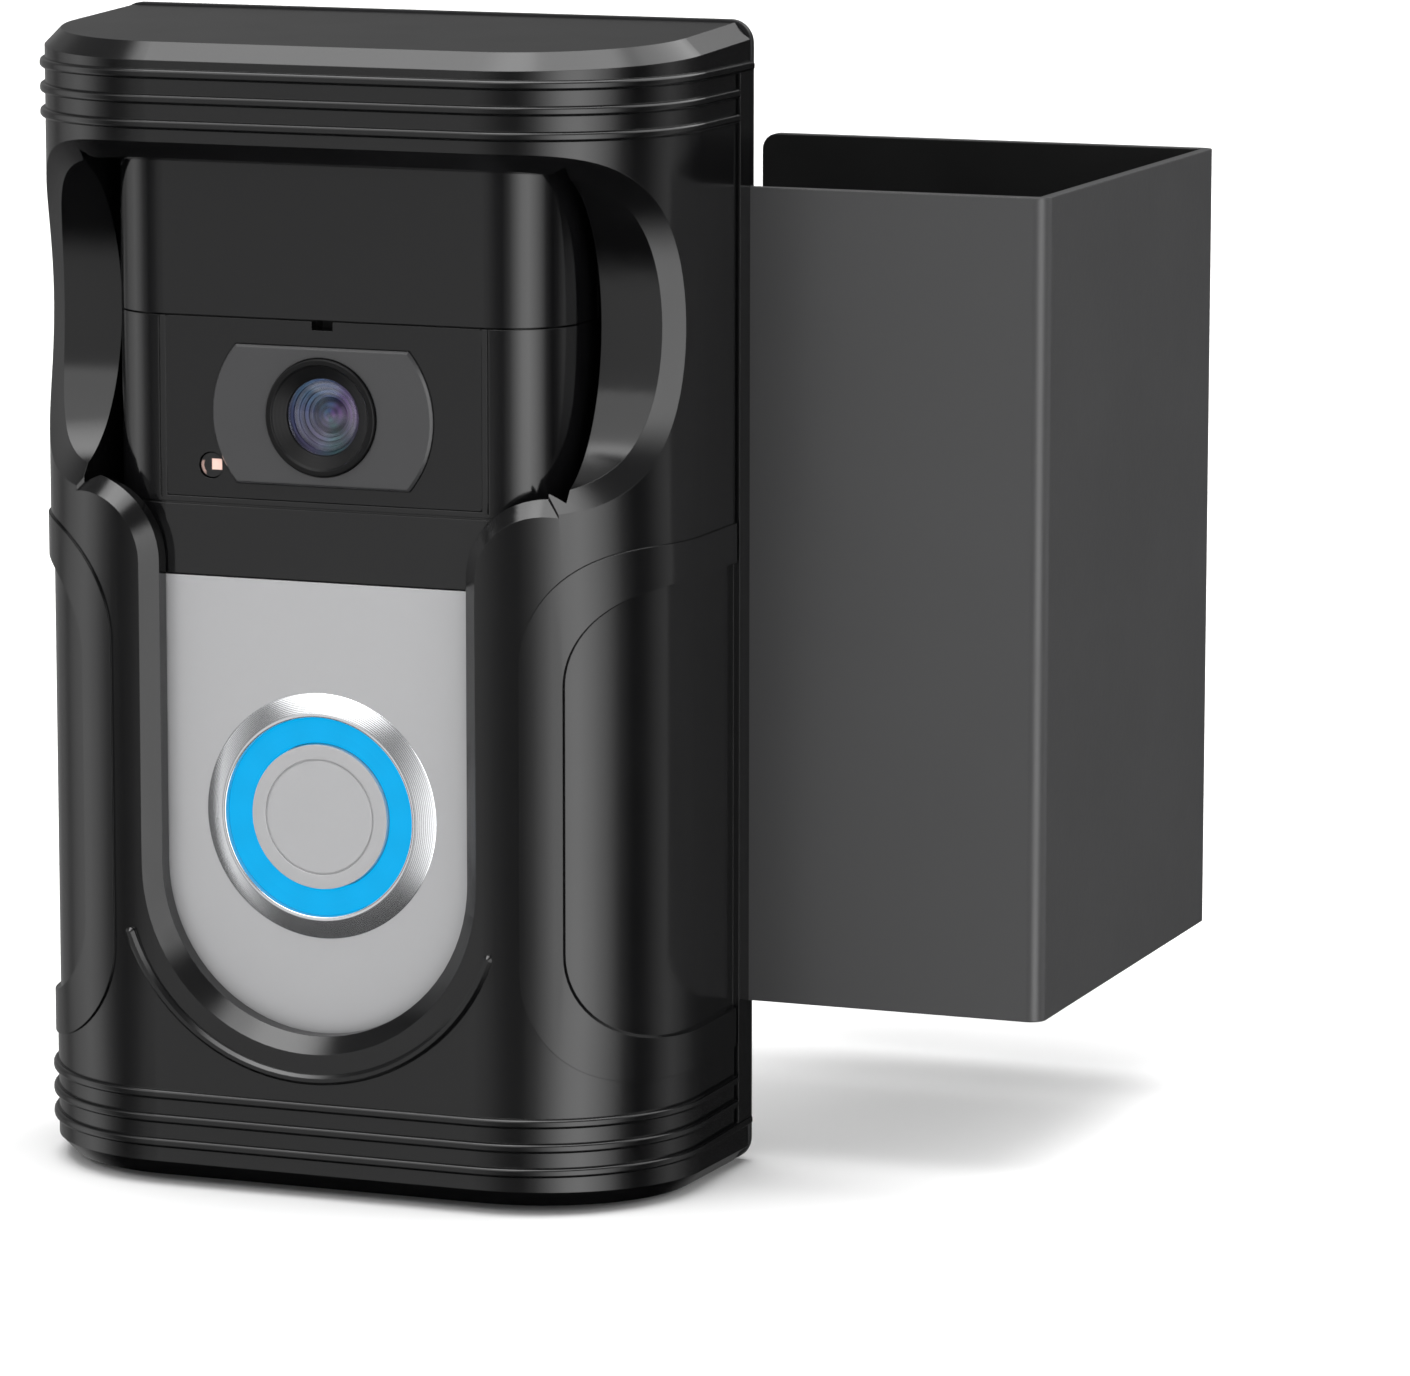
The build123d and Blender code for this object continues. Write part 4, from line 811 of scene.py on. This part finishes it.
@dataclass
class Clamp:
    """Steel bracket round the door's edge, with its two screws and pressure plate."""

    sheet: float = 1.5 * MM
    lap: float = 0.05 * MM
    pad_corner: float = 3.0 * MM
    pad_edge: float = 0.5 * MM
    pitch: float = 1.0 * MM
    core: float = 2.42 * MM
    crest: float = 2.95 * MM
    head_height: float = 6.0 * MM
    tip_length: float = 3.0 * MM
    tip_radius: float = 2.0 * MM
    flange_radius: float = 3.4 * MM
    key_half: float = 2.5 * MM
    steps_round: int = 48
    steps_pitch: int = 8

    def build(self) -> None:
        """Dress the bracket and make the threaded screws and the rubber pad."""
        low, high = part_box("door_bracket")
        # the bracket's coat paints shade on its inside faces between the flanges
        dress_nodes(ShadedInsideCoat(
            "bracket_coat", (0.044, 0.044, 0.045), 0.34, mottle=0.05, mottle_size=0.05,
            unevenness=0.03, peel_size=0.0010, peel_depth=0.000008, edge=0.0003,
            web=high.x - self.sheet + self.lap, near=low.y + self.sheet - self.lap,
            far=high.y - self.sheet + self.lap), "door_bracket")
        dress_nodes(Finish("pressed_zinc", (0.45, 0.46, 0.49), 0.34, metallic=1.0, mottle=0.3,
                           mottle_size=0.006), "pressure_plate")
        rubber = Foam("ribbed_rubber", (0.012, 0.012, 0.012), 0.6, pore_size=0.0014,
                      pore_depth=0.00006, edge=0.0).make()
        low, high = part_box("pressure_pad")
        pad = Pad(low, high, self.pad_corner, self.pad_edge)
        pad.make("rubber_pad", rubber, Slot.RUBBER, "clamp_plate", "pressure_pad")
        black_steel = Finish("oiled_steel", (0.10, 0.10, 0.11), 0.3, metallic=1.0, mottle=0.3,
                             mottle_size=0.003, edge=0.00015).make()
        for side in ("upper", "lower"):
            self.screw(side, black_steel)

    def screw(self, side: str, finish: bpy.types.Material) -> None:
        """Make one clamp screw with a real thread.

        Args:
            side: "upper" or "lower".
            finish: Its material.
        """
        node = f"clamp_screw_{side}"
        low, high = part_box(node)
        centre = (low + high) / 2
        head_radius = (high.x - low.x) / 2
        points: list[Point] = []
        rings: list[list[int]] = []

        def ring(y: float, radius: "float | list[float]") -> None:
            """Add one ring of vertices."""
            start = len(points)
            for k in range(self.steps_round):
                turn = math.tau * k / self.steps_round
                r = radius[k] if isinstance(radius, list) else radius
                points.append((centre.x + r * math.cos(turn), y, centre.z + r * math.sin(turn)))
            rings.append(list(range(start, start + self.steps_round)))

        ring(low.y, 0.6 * MM)
        ring(low.y, self.flange_radius - 0.2 * MM)
        ring(low.y + 0.2 * MM, self.flange_radius)
        ring(low.y + 0.6 * MM, self.flange_radius)
        ring(low.y + 0.8 * MM, self.flange_radius - 0.2 * MM)
        ring(low.y + 0.8 * MM, self.tip_radius)
        ring(low.y + self.tip_length, self.tip_radius)
        thread_start, thread_end = low.y + self.tip_length, high.y - self.head_height
        count = round((thread_end - thread_start) / self.pitch * self.steps_pitch)
        for i in range(count + 1):
            y = thread_start + (thread_end - thread_start) * i / count
            fade = min(1.0, 2 * i / self.steps_pitch, 2 * (count - i) / self.steps_pitch)
            radii = []
            for k in range(self.steps_round):
                phase = ((y - thread_start) / self.pitch - k / self.steps_round) % 1.0
                height = min(1.0, max(0.0, 1.3 * (1 - abs(2 * phase - 1)) - 0.15))
                radii.append(self.core + (self.crest - self.core) * height * fade)
            ring(y, radii)
        for y, radius in ((thread_end, head_radius - 0.15 * MM),
                          (thread_end + 0.15 * MM, head_radius),
                          (high.y - 0.5 * MM, head_radius),
                          (high.y - 0.15 * MM, head_radius - 0.35 * MM),
                          (high.y, head_radius - 0.55 * MM)):
            ring(y, radius)
        turns = (math.tau * k / self.steps_round for k in range(self.steps_round))
        hexagon = [self.key_half / math.cos(a % (math.tau / 6) - math.pi / 6) for a in turns]
        ring(high.y, [r + 0.25 * MM for r in hexagon])
        ring(high.y - 0.25 * MM, hexagon)
        ring(high.y - self.head_height / 2, hexagon)
        faces = []
        for a, b in zip(rings, rings[1:]):
            for k in range(self.steps_round):
                m = (k + 1) % self.steps_round
                faces.append((a[k], a[m], b[m], b[k]))
        faces.append(tuple(rings[0]))
        faces.append(tuple(reversed(rings[-1])))
        new_piece(f"threaded_screw_{side}", (points, faces), finish, f"{side}_screw",
                  (node,))


@dataclass
class Button:
    """Chrome bezel, lit ring and the cap that is pressed."""

    rounding: float = 0.16 * MM
    bezel_slope: float = 1.1 * MM
    bezel_edge: float = 13.2 * MM
    bezel_wall: float = 12.8 * MM
    bezel_seat: float = 3.2 * MM
    bezel_bore: float = 11.0 * MM
    bezel_shank: float = 13.6 * MM
    ring_bore: float = 9.45 * MM
    ring_crown: float = 0.12 * MM
    ring_shoulder: float = 0.35 * MM
    cap_radius: float = 9.25 * MM
    cap_flange: float = 0.9 * MM
    groove: float = 7.3 * MM
    groove_width: float = 0.28 * MM
    groove_depth: float = 0.22 * MM
    groove_rounding: float = 0.06 * MM

    def build(self) -> None:
        """Turn the three visible rings and dress the hidden parts."""
        axis = tuple(middle("button_cap"))
        self.bezel(axis)
        self.ring(axis)
        self.cap(axis)
        dress_nodes(Finish("nylon", (0.5, 0.5, 0.47), 0.45),
                    "button_plunger", "led_carrier", "ring_leds")
        dress_nodes(Finish("dome_rubber", (0.02, 0.02, 0.022), 0.7), "button_dome")
        dress_nodes(Finish("switch_can", (0.5, 0.5, 0.52), 0.3, metallic=1.0), "tact_switch")

    def bezel(self, axis: Point) -> None:
        """The chrome bezel with its sloping, slightly hollow face."""
        low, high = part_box("button_bezel")
        outer = (high.x - low.x) / 2
        front, rear = low.y, high.y
        face, seat = front + self.bezel_slope, front + self.bezel_seat
        profile = [(outer, face), (outer - 0.1 * MM, face - 0.08 * MM), (self.bezel_edge, front),
                   (self.bezel_wall, front + 0.06 * MM), (self.bezel_wall, seat),
                   (self.bezel_bore, seat), (self.bezel_bore, rear), (self.bezel_shank, rear),
                   (self.bezel_shank, face)]
        finish = Turned("chrome_plate", (0.78, 0.79, 0.81), 0.13, metallic=0.91, mottle=0.03,
                        unevenness=0.02, centre=axis, ring_depth=0.0000012,
                        grain_depth=0.0000008, edge=0.0)
        new_piece("chrome_bezel", turned_mesh(rounded(profile, self.rounding), axis),
                  finish.make(), "cage", ("button_bezel",))

    def ring(self, axis: Point) -> None:
        """The lit ring, softly crowned."""
        low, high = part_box("light_ring")
        front, rear = low.y, high.y
        outer, inner = (high.x - low.x) / 2, self.ring_bore
        crown, shoulder = self.ring_crown, self.ring_shoulder
        profile = [(outer, rear), (outer, front + 2 * crown), (outer - shoulder, front + crown),
                   ((outer + inner) / 2, front), (inner + shoulder, front + crown),
                   (inner, front + 2 * crown), (inner, rear)]
        finish = LitRing("lit_blue", (0.002, 0.03, 0.06), 0.5, mottle=0.02, ior=1.2, centre=axis,
                         edge=0.0, light=(0.0, 0.41, 0.82), glow=0.95)
        new_piece("glowing_ring", turned_mesh(rounded(profile, self.rounding), axis),
                  finish.make(), "cage", ("light_ring",))

    def cap(self, axis: Point) -> None:
        """The cap, with a fine groove turned in its face."""
        low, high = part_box("button_cap")
        front, rear = low.y, high.y
        flange = (high.x - low.x) / 2
        step, floor = rear - self.cap_flange, front + self.groove_depth
        inner_wall = self.groove - self.groove_width / 2
        outer_wall = self.groove + self.groove_width / 2
        soft = rounded([(inner_wall, front), (inner_wall, floor), (outer_wall, floor),
                        (outer_wall, front), (self.cap_radius, front), (self.cap_radius, step),
                        (flange, step), (flange, rear)], self.groove_rounding)
        finish = Turned("cap_silver", (0.43, 0.43, 0.438), 0.44, metallic=0.35, mottle=0.03,
                        centre=axis, ring_depth=0.0000008, edge=0.0)
        new_piece("silver_cap", turned_mesh([(0.0, front), *soft, (0.0, rear)], axis),
                  finish.make(), "button", ("button_cap",))


@dataclass
class Camera:
    """Lens, its barrel and bezel, and what is behind them."""

    rounding: float = 0.1 * MM
    barrel_bore: float = 5.5 * MM
    glass_seat: float = 1.4 * MM
    glass_radius: float = 4.68 * MM
    glass_sag: float = 1.25 * MM
    glass_rim: float = 5.4 * MM
    glass_thickness: float = 0.5 * MM
    baffle_start: float = 2.3 * MM
    baffle_outer: float = 5.45 * MM
    baffle_inner: float = 5.0 * MM
    baffle_length: float = 6.5 * MM
    baffle_rise: float = 0.28 * MM
    baffle_steps: tuple[float, ...] = (0.62, 0.62, 0.55, 0.5, 0.45)
    element_sphere: float = 3.1 * MM
    # painted reflection colours of the lens coating, by place round the axis
    painted_reflection_tints: tuple[tuple[float, Colour], ...] = (
        (0.0, (0.048, 0.062, 0.15)), (0.16, (0.11, 0.095, 0.18)), (0.30, (0.038, 0.11, 0.11)),
        (0.42, (0.072, 0.06, 0.12)), (0.52, (0.12, 0.05, 0.17)), (0.62, (0.10, 0.05, 0.17)),
        (0.74, (0.02, 0.058, 0.16)), (0.88, (0.03, 0.088, 0.15)), (1.0, (0.048, 0.062, 0.15)))

    def build(self) -> None:
        """Turn the lens pieces and dress the rest."""
        low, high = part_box("lens_barrel")
        axis = tuple((low + high) / 2)
        self.barrel(low, high, axis)
        self.front_glass(low.y, axis)
        self.baffle(low.y, axis)
        dress_nodes(Finish("bezel_grey", (0.034, 0.034, 0.0355), 0.24, mottle=0.05, coat=0.3,
                           unevenness=0.02, grain_depth=0.0000015, edge=0.0002), "lens_bezel")
        dress_nodes(Finish("sensor_silicon", (0.02, 0.05, 0.06), 0.15, metallic=0.5),
                    "image_sensor")
        dress_nodes(Finish("holder_black", (0.012, 0.012, 0.012), 0.5),
                    "lens_holder", "microphone")
        dress_nodes(ClearGlass("lamp_lens", (0.35, 0.22, 0.30), 0.08, mottle=0.02,
                               grain_depth=0.0), "infrared_leds")
        dress_nodes(SensorWindow("sensor_window", (0.004, 0.004, 0.0045), 0.1, mottle=0.0,
                                 grain_depth=0.0, edge=0.0, centre=tuple(middle("light_sensor"))),
                    "light_sensor")
        dress_nodes(Finish("seal_rubber", (0.018, 0.018, 0.018), 0.75),
                    "camera_gasket", "body_gasket", "usb_cover")

    def barrel(self, low: Vector, high: Vector, axis: Point) -> None:
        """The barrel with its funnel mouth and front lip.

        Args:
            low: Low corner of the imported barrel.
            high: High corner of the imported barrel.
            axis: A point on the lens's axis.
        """
        outer = (high.x - low.x) / 2
        front = low.y
        profile = [(outer, front + 0.15 * MM), (outer - 0.15 * MM, front),
                   (outer - 0.75 * MM, front), (outer - 0.95 * MM, front + 0.3 * MM),
                   (4.95 * MM, front + 1.0 * MM),
                   (4.82 * MM, front + 1.35 * MM), (self.barrel_bore, front + self.glass_seat),
                   (self.barrel_bore, high.y), (outer, high.y)]
        finish = Turned("barrel_black", (0.004, 0.004, 0.0043), 0.42, ior=1.3, mottle=0.1,
                        unevenness=0.03, centre=axis, ring_size=0.0005, ring_depth=0.000002,
                        edge=0.0)
        new_piece("turned_barrel", turned_mesh(rounded(profile, self.rounding, 3), axis),
                  finish.make(), "cage", ("lens_barrel",))

    def front_glass(self, front: float, axis: Point) -> None:
        """The domed front element.

        Args:
            front: Y of the barrel's front.
            axis: A point on the lens's axis.
        """
        reach, sag, seat = self.glass_radius, self.glass_sag, front + self.glass_seat
        sphere = (reach ** 2 + sag ** 2) / (2 * sag)
        dome = []
        for k in range(DOME_STEPS + 1):
            radius = reach * k / DOME_STEPS
            dome.append((radius, seat - sag + sphere - math.sqrt(sphere ** 2 - radius ** 2)))
        rim = [(self.glass_rim, seat + 0.05 * MM), (self.glass_rim, seat + 0.3 * MM)]
        back = [(r, y + self.glass_thickness) for r, y in reversed(dome)]
        glass = ClearGlass("front_glass", (0.93, 0.94, 1.0), 0.02, mottle=0.0, ior=1.38,
                           unevenness=0.01, grain_depth=0.0, edge=0.0)
        new_piece("front_lens", turned_mesh(dome + rim + back, axis, LENS_STEPS), glass.make(),
                  "cage", ("lens_front_glass",))

    def baffle(self, front: float, axis: Point) -> None:
        """Stepped rings and the second element behind the front glass.

        Args:
            front: Y of the barrel's front.
            axis: A point on the lens's axis.
        """
        start = front + self.baffle_start
        profile = [(self.baffle_outer, start)]
        radius, y = self.baffle_inner, start
        for step in self.baffle_steps:
            profile += [(radius, y), (radius - step * MM * 0.85, y + 0.10 * MM),
                        (radius - step * MM, y + self.baffle_rise)]
            radius, y = radius - step * MM, y + self.baffle_rise
        sphere = self.element_sphere
        for k in range(ELEMENT_STEPS, -1, -1):
            r = radius * k / ELEMENT_STEPS
            profile.append((r, y - 0.55 * MM + sphere - math.sqrt(sphere ** 2 - r ** 2)))
        profile += [(0.0, start + self.baffle_length),
                    (self.baffle_outer, start + self.baffle_length)]
        # the stack's material paints the coating's coloured reflections and dark rings
        coated = PaintedReflectionLens("painted_lens_reflections", (0.1, 0.1, 0.3), 0.3, metallic=0.3, mottle=0.0,
                            unevenness=0.02, centre=axis, edge=0.0, ring_depth=0.0,
                            grain_depth=0.0, painted_reflection_tints=self.painted_reflection_tints)
        new_piece("coated_lens_stack", turned_mesh(profile, axis, LENS_STEPS), coated.make(),
                  "cage", ("lens_inner_glass", "lens_spacer"))


@dataclass
class Doorbell:
    """Housings, covers and electronics of the doorbell itself."""

    def build(self) -> None:
        """Dress the doorbell's nodes."""
        dress_nodes(Finish("gloss_black", (0.0035, 0.0035, 0.0038), 0.09, mottle=0.1,
                           unevenness=0.015, ior=1.46, grain_depth=0.0, edge=0.00015),
                    "motion_cover")
        dress_nodes(Finish("body_black", (0.0035, 0.0035, 0.0038), 0.11, mottle=0.1,
                           unevenness=0.015, grain_depth=0.0000003, edge=0.00015), "front_body")
        dress_nodes(Finish("panel_black", (0.0030, 0.0030, 0.0033), 0.07, mottle=0.1,
                           unevenness=0.01, ior=1.46, grain_depth=0.0, edge=0.0001),
                    "camera_panel")
        dress_nodes(Finish("satin_silver", (0.43, 0.43, 0.438), 0.46, metallic=0.35, mottle=0.02,
                           mottle_size=0.04, unevenness=0.02, grain_size=0.0003,
                           grain_depth=0.0000015, edge=0.0002), "faceplate")
        dress_nodes(Finish("housing_black", (0.012, 0.012, 0.013), 0.5, grain_size=0.0006,
                           grain_depth=0.000012), "back_housing", "mount_plate", "speaker")
        self.inside()

    def inside(self) -> None:
        """Dress what the housings hold."""
        dress_nodes(Finish("window_sheet", (0.55, 0.55, 0.53), 0.4), "fresnel_lens")
        dress_nodes(Finish("sensor_can", (0.62, 0.61, 0.58), 0.25, metallic=1.0),
                    "pir_sensors", "shield_can", "usb_port")
        dress_nodes(CircuitBoard("solder_mask", (0.012, 0.10, 0.045), 0.3, mottle=0.35),
                    "main_board", "camera_board", "sensor_board", "led_board")
        dress_nodes(Finish("moulded_chip", (0.018, 0.018, 0.019), 0.55, grain_depth=0.00001),
                    "board_parts", "board_connectors")
        dress_nodes(Finish("rolled_copper", (0.72, 0.36, 0.2), 0.3, metallic=1.0), "antenna")
        dress_nodes(Finish("shrink_wrap", (0.03, 0.10, 0.32), 0.25, grain_size=0.002,
                           grain_depth=0.00004), "battery_pack")
        dress_nodes(Foam("battery_foam", (0.05, 0.05, 0.05), 0.85), "battery_foam")
        dress_nodes(Finish("wire_red", (0.45, 0.02, 0.015), 0.4), "battery_leads")


# ---------------------------------------------------------------- the studio
@dataclass
class Studio:
    """Pale floor, soft surroundings and the camera."""

    place: Point = (0.364618, -0.863168, 0.143693)
    aim: Point = (0.045019, -0.0215, -0.008967)
    roll: float = 0.058
    lens: float = 185.13
    sensor: float = 36.0
    floor_colour: Colour = (0.80, 0.80, 0.80)
    overhead: float = 4.2
    fill: float = 0.2
    canopy: float = 1.8
    backlight: float = 2.4
    strength: float = 1.0
    around: tuple[tuple[float, float], ...] = (
        (-180, 0.05), (-155, 0.15), (-141, 0.30), (-131, 0.25), (-121, 0.28), (-111, 0.20),
        (-101, 0.55), (-91, 0.90), (-81, 1.35), (-71, 1.15), (-61, 0.48), (-51, 0.12),
        (-41, 0.25), (-31, 0.62), (-21, 0.80), (-11, 0.50), (-1, 0.24), (9, 0.16), (19, 0.66),
        (29, 2.00), (39, 3.40), (49, 3.80), (59, 2.90), (69, 1.75), (79, 0.35), (89, 0.02),
        (99, 0.10), (109, 0.40), (119, 0.60), (129, 0.35), (143, 0.10), (159, 0.03))
    sides_foot: Ramp = (-0.75, -0.45)
    sides_top: Ramp = (0.35, 0.6)
    overhead_rise: Ramp = (0.82, 0.90)
    fill_rise: Ramp = (0.30, 0.6)
    canopy_rise: Ramp = (0.40, 0.50)
    canopy_turn: tuple[Ramp, Ramp] = ((-70, -45), (-5, 20))
    backlight_turn: tuple[Ramp, Ramp] = ((70, 110), (165, 179))
    backlight_height: tuple[Ramp, Ramp] = ((0.30, 0.42), (0.80, 0.88))
    floor_half: float = 6.0
    floor_gap: float = 0.02 * MM

    def build(self) -> None:
        """Make the floor, the surroundings and the camera."""
        self.floor()
        self.surroundings()
        self.camera()
        bpy.context.scene.view_settings.view_transform = "Standard"

    def floor(self) -> None:
        """Lay a large pale floor under the object."""
        low, _ = CAD_BOX
        side, level = self.floor_half, low.z - self.floor_gap
        corners = ((-side, -side), (side, -side), (side, side), (-side, side))
        mesh = bpy.data.meshes.new("studio_floor")
        mesh.from_pydata([(x, y, level) for x, y in corners], [], [(0, 1, 2, 3)])
        floor = bpy.data.objects.new("studio_floor", mesh)
        bpy.context.scene.collection.objects.link(floor)
        paper = Finish("floor_paper", self.floor_colour, 0.9, mottle=0.005, mottle_size=0.4,
                       unevenness=0.02, grain_depth=0.0, edge=0.0)
        mesh.materials.append(paper.make())
        floor.visible_glossy = False

    def surroundings(self) -> None:
        """Surround the object with soft bands of light, before a white backdrop."""
        world = bpy.data.worlds.new("studio")
        world.use_nodes = True
        bpy.context.scene.world = world
        nodes, links = world.node_tree.nodes, world.node_tree.links
        nodes.clear()

        def calculate(operation: str, *values: "Socket | float") -> Socket:
            """Add one sum on sockets or plain numbers and give its result."""
            node = nodes.new("ShaderNodeMath")
            node.operation = operation
            for socket, value in zip(node.inputs, values):
                if isinstance(value, (int, float)):
                    socket.default_value = value
                else:
                    links.new(value, socket)
            return node.outputs[0]

        def step(value: Socket, start: float, end: float) -> Socket:
            """Give a smooth rise from 0 to 1 between two values."""
            node = nodes.new("ShaderNodeMapRange")
            node.interpolation_type = "SMOOTHSTEP"
            node.inputs["From Min"].default_value = start
            node.inputs["From Max"].default_value = end
            links.new(value, node.inputs["Value"])
            return node.outputs["Result"]

        def span(value: Socket, start: Ramp, end: Ramp) -> Socket:
            """Give 1 between two soft limits and 0 outside them."""
            return calculate("MULTIPLY", step(value, *start),
                             calculate("SUBTRACT", 1.0, step(value, *end)))

        def sector(start: Ramp, end: Ramp) -> Socket:
            """Give 1 between two soft angles round the object and 0 outside them."""
            return span(turn, *(tuple(math.radians(a) for a in ramp) for ramp in (start, end)))

        split = nodes.new("ShaderNodeSeparateXYZ")
        links.new(nodes.new("ShaderNodeTexCoord").outputs["Generated"], split.inputs[0])
        x, y, z = split.outputs
        turn = calculate("ARCTAN2", x, calculate("MULTIPLY", y, -1.0))
        place = calculate("ADD", calculate("DIVIDE", turn, math.tau), 0.5)
        ramp = nodes.new("ShaderNodeValToRGB")
        brightest = max(level for _, level in self.around)
        stops = ramp.color_ramp.elements
        while len(stops) < len(self.around):
            stops.new(0.5)
        for stop, (angle, level) in zip(stops, self.around):
            stop.position = (angle + 180) / 360
            stop.color = (*(level / brightest,) * 3, 1.0)
        links.new(place, ramp.inputs["Fac"])
        bands = calculate("MULTIPLY", ramp.outputs["Color"], brightest)
        sides = calculate("MULTIPLY", bands, calculate("SUBTRACT", 1.0, step(z, *self.sides_top)))
        sides = calculate("MULTIPLY", sides, step(z, *self.sides_foot))
        above = calculate("MULTIPLY", step(z, *self.overhead_rise), self.overhead)
        fill = calculate("MULTIPLY", step(z, *self.fill_rise), self.fill)
        canopy = calculate("MULTIPLY", step(z, *self.canopy_rise), self.canopy)
        canopy = calculate("MULTIPLY", sector(*self.canopy_turn), canopy)
        behind, height = sector(*self.backlight_turn), span(z, *self.backlight_height)
        backlight = calculate("MULTIPLY", calculate("MULTIPLY", behind, height), self.backlight)
        light = calculate("ADD", calculate("ADD", sides, above), calculate("ADD", fill, canopy))
        light = calculate("ADD", light, backlight)
        lit = nodes.new("ShaderNodeBackground")
        links.new(light, lit.inputs["Color"])
        lit.inputs["Strength"].default_value = self.strength
        backdrop = nodes.new("ShaderNodeBackground")
        backdrop.inputs["Color"].default_value = (1.0, 1.0, 1.0, 1.0)
        mix = nodes.new("ShaderNodeMixShader")
        links.new(nodes.new("ShaderNodeLightPath").outputs["Is Camera Ray"], mix.inputs[0])
        links.new(lit.outputs[0], mix.inputs[1])
        links.new(backdrop.outputs[0], mix.inputs[2])
        links.new(mix.outputs[0], nodes.new("ShaderNodeOutputWorld").inputs["Surface"])

    def camera(self) -> None:
        """Stand the camera to the right of the door, looking a little down."""
        data = bpy.data.cameras.new("camera")
        data.lens = self.lens
        data.sensor_width = self.sensor
        data.sensor_fit = "HORIZONTAL"
        data.clip_start = 0.01
        data.clip_end = 30.0
        camera = bpy.data.objects.new("camera", data)
        bpy.context.scene.collection.objects.link(camera)
        towards = Vector(self.aim) - Vector(self.place)
        turn = towards.to_track_quat("-Z", "Y")
        camera.rotation_mode = "QUATERNION"
        camera.rotation_quaternion = turn @ Quaternion((0, 0, 1), math.radians(self.roll))
        camera.location = self.place
        bpy.context.scene.camera = camera


def main() -> None:
    """Build the studio and every sub-assembly in order."""
    logging.basicConfig(level=logging.INFO, format="%(name)s: %(message)s")
    Studio().build()
    for part in (Cage(), Clamp(), Doorbell(), Camera(), Button()):
        LOG.info("building %s", type(part).__name__)
        part.build()


if __name__ == "__main__":
    main()
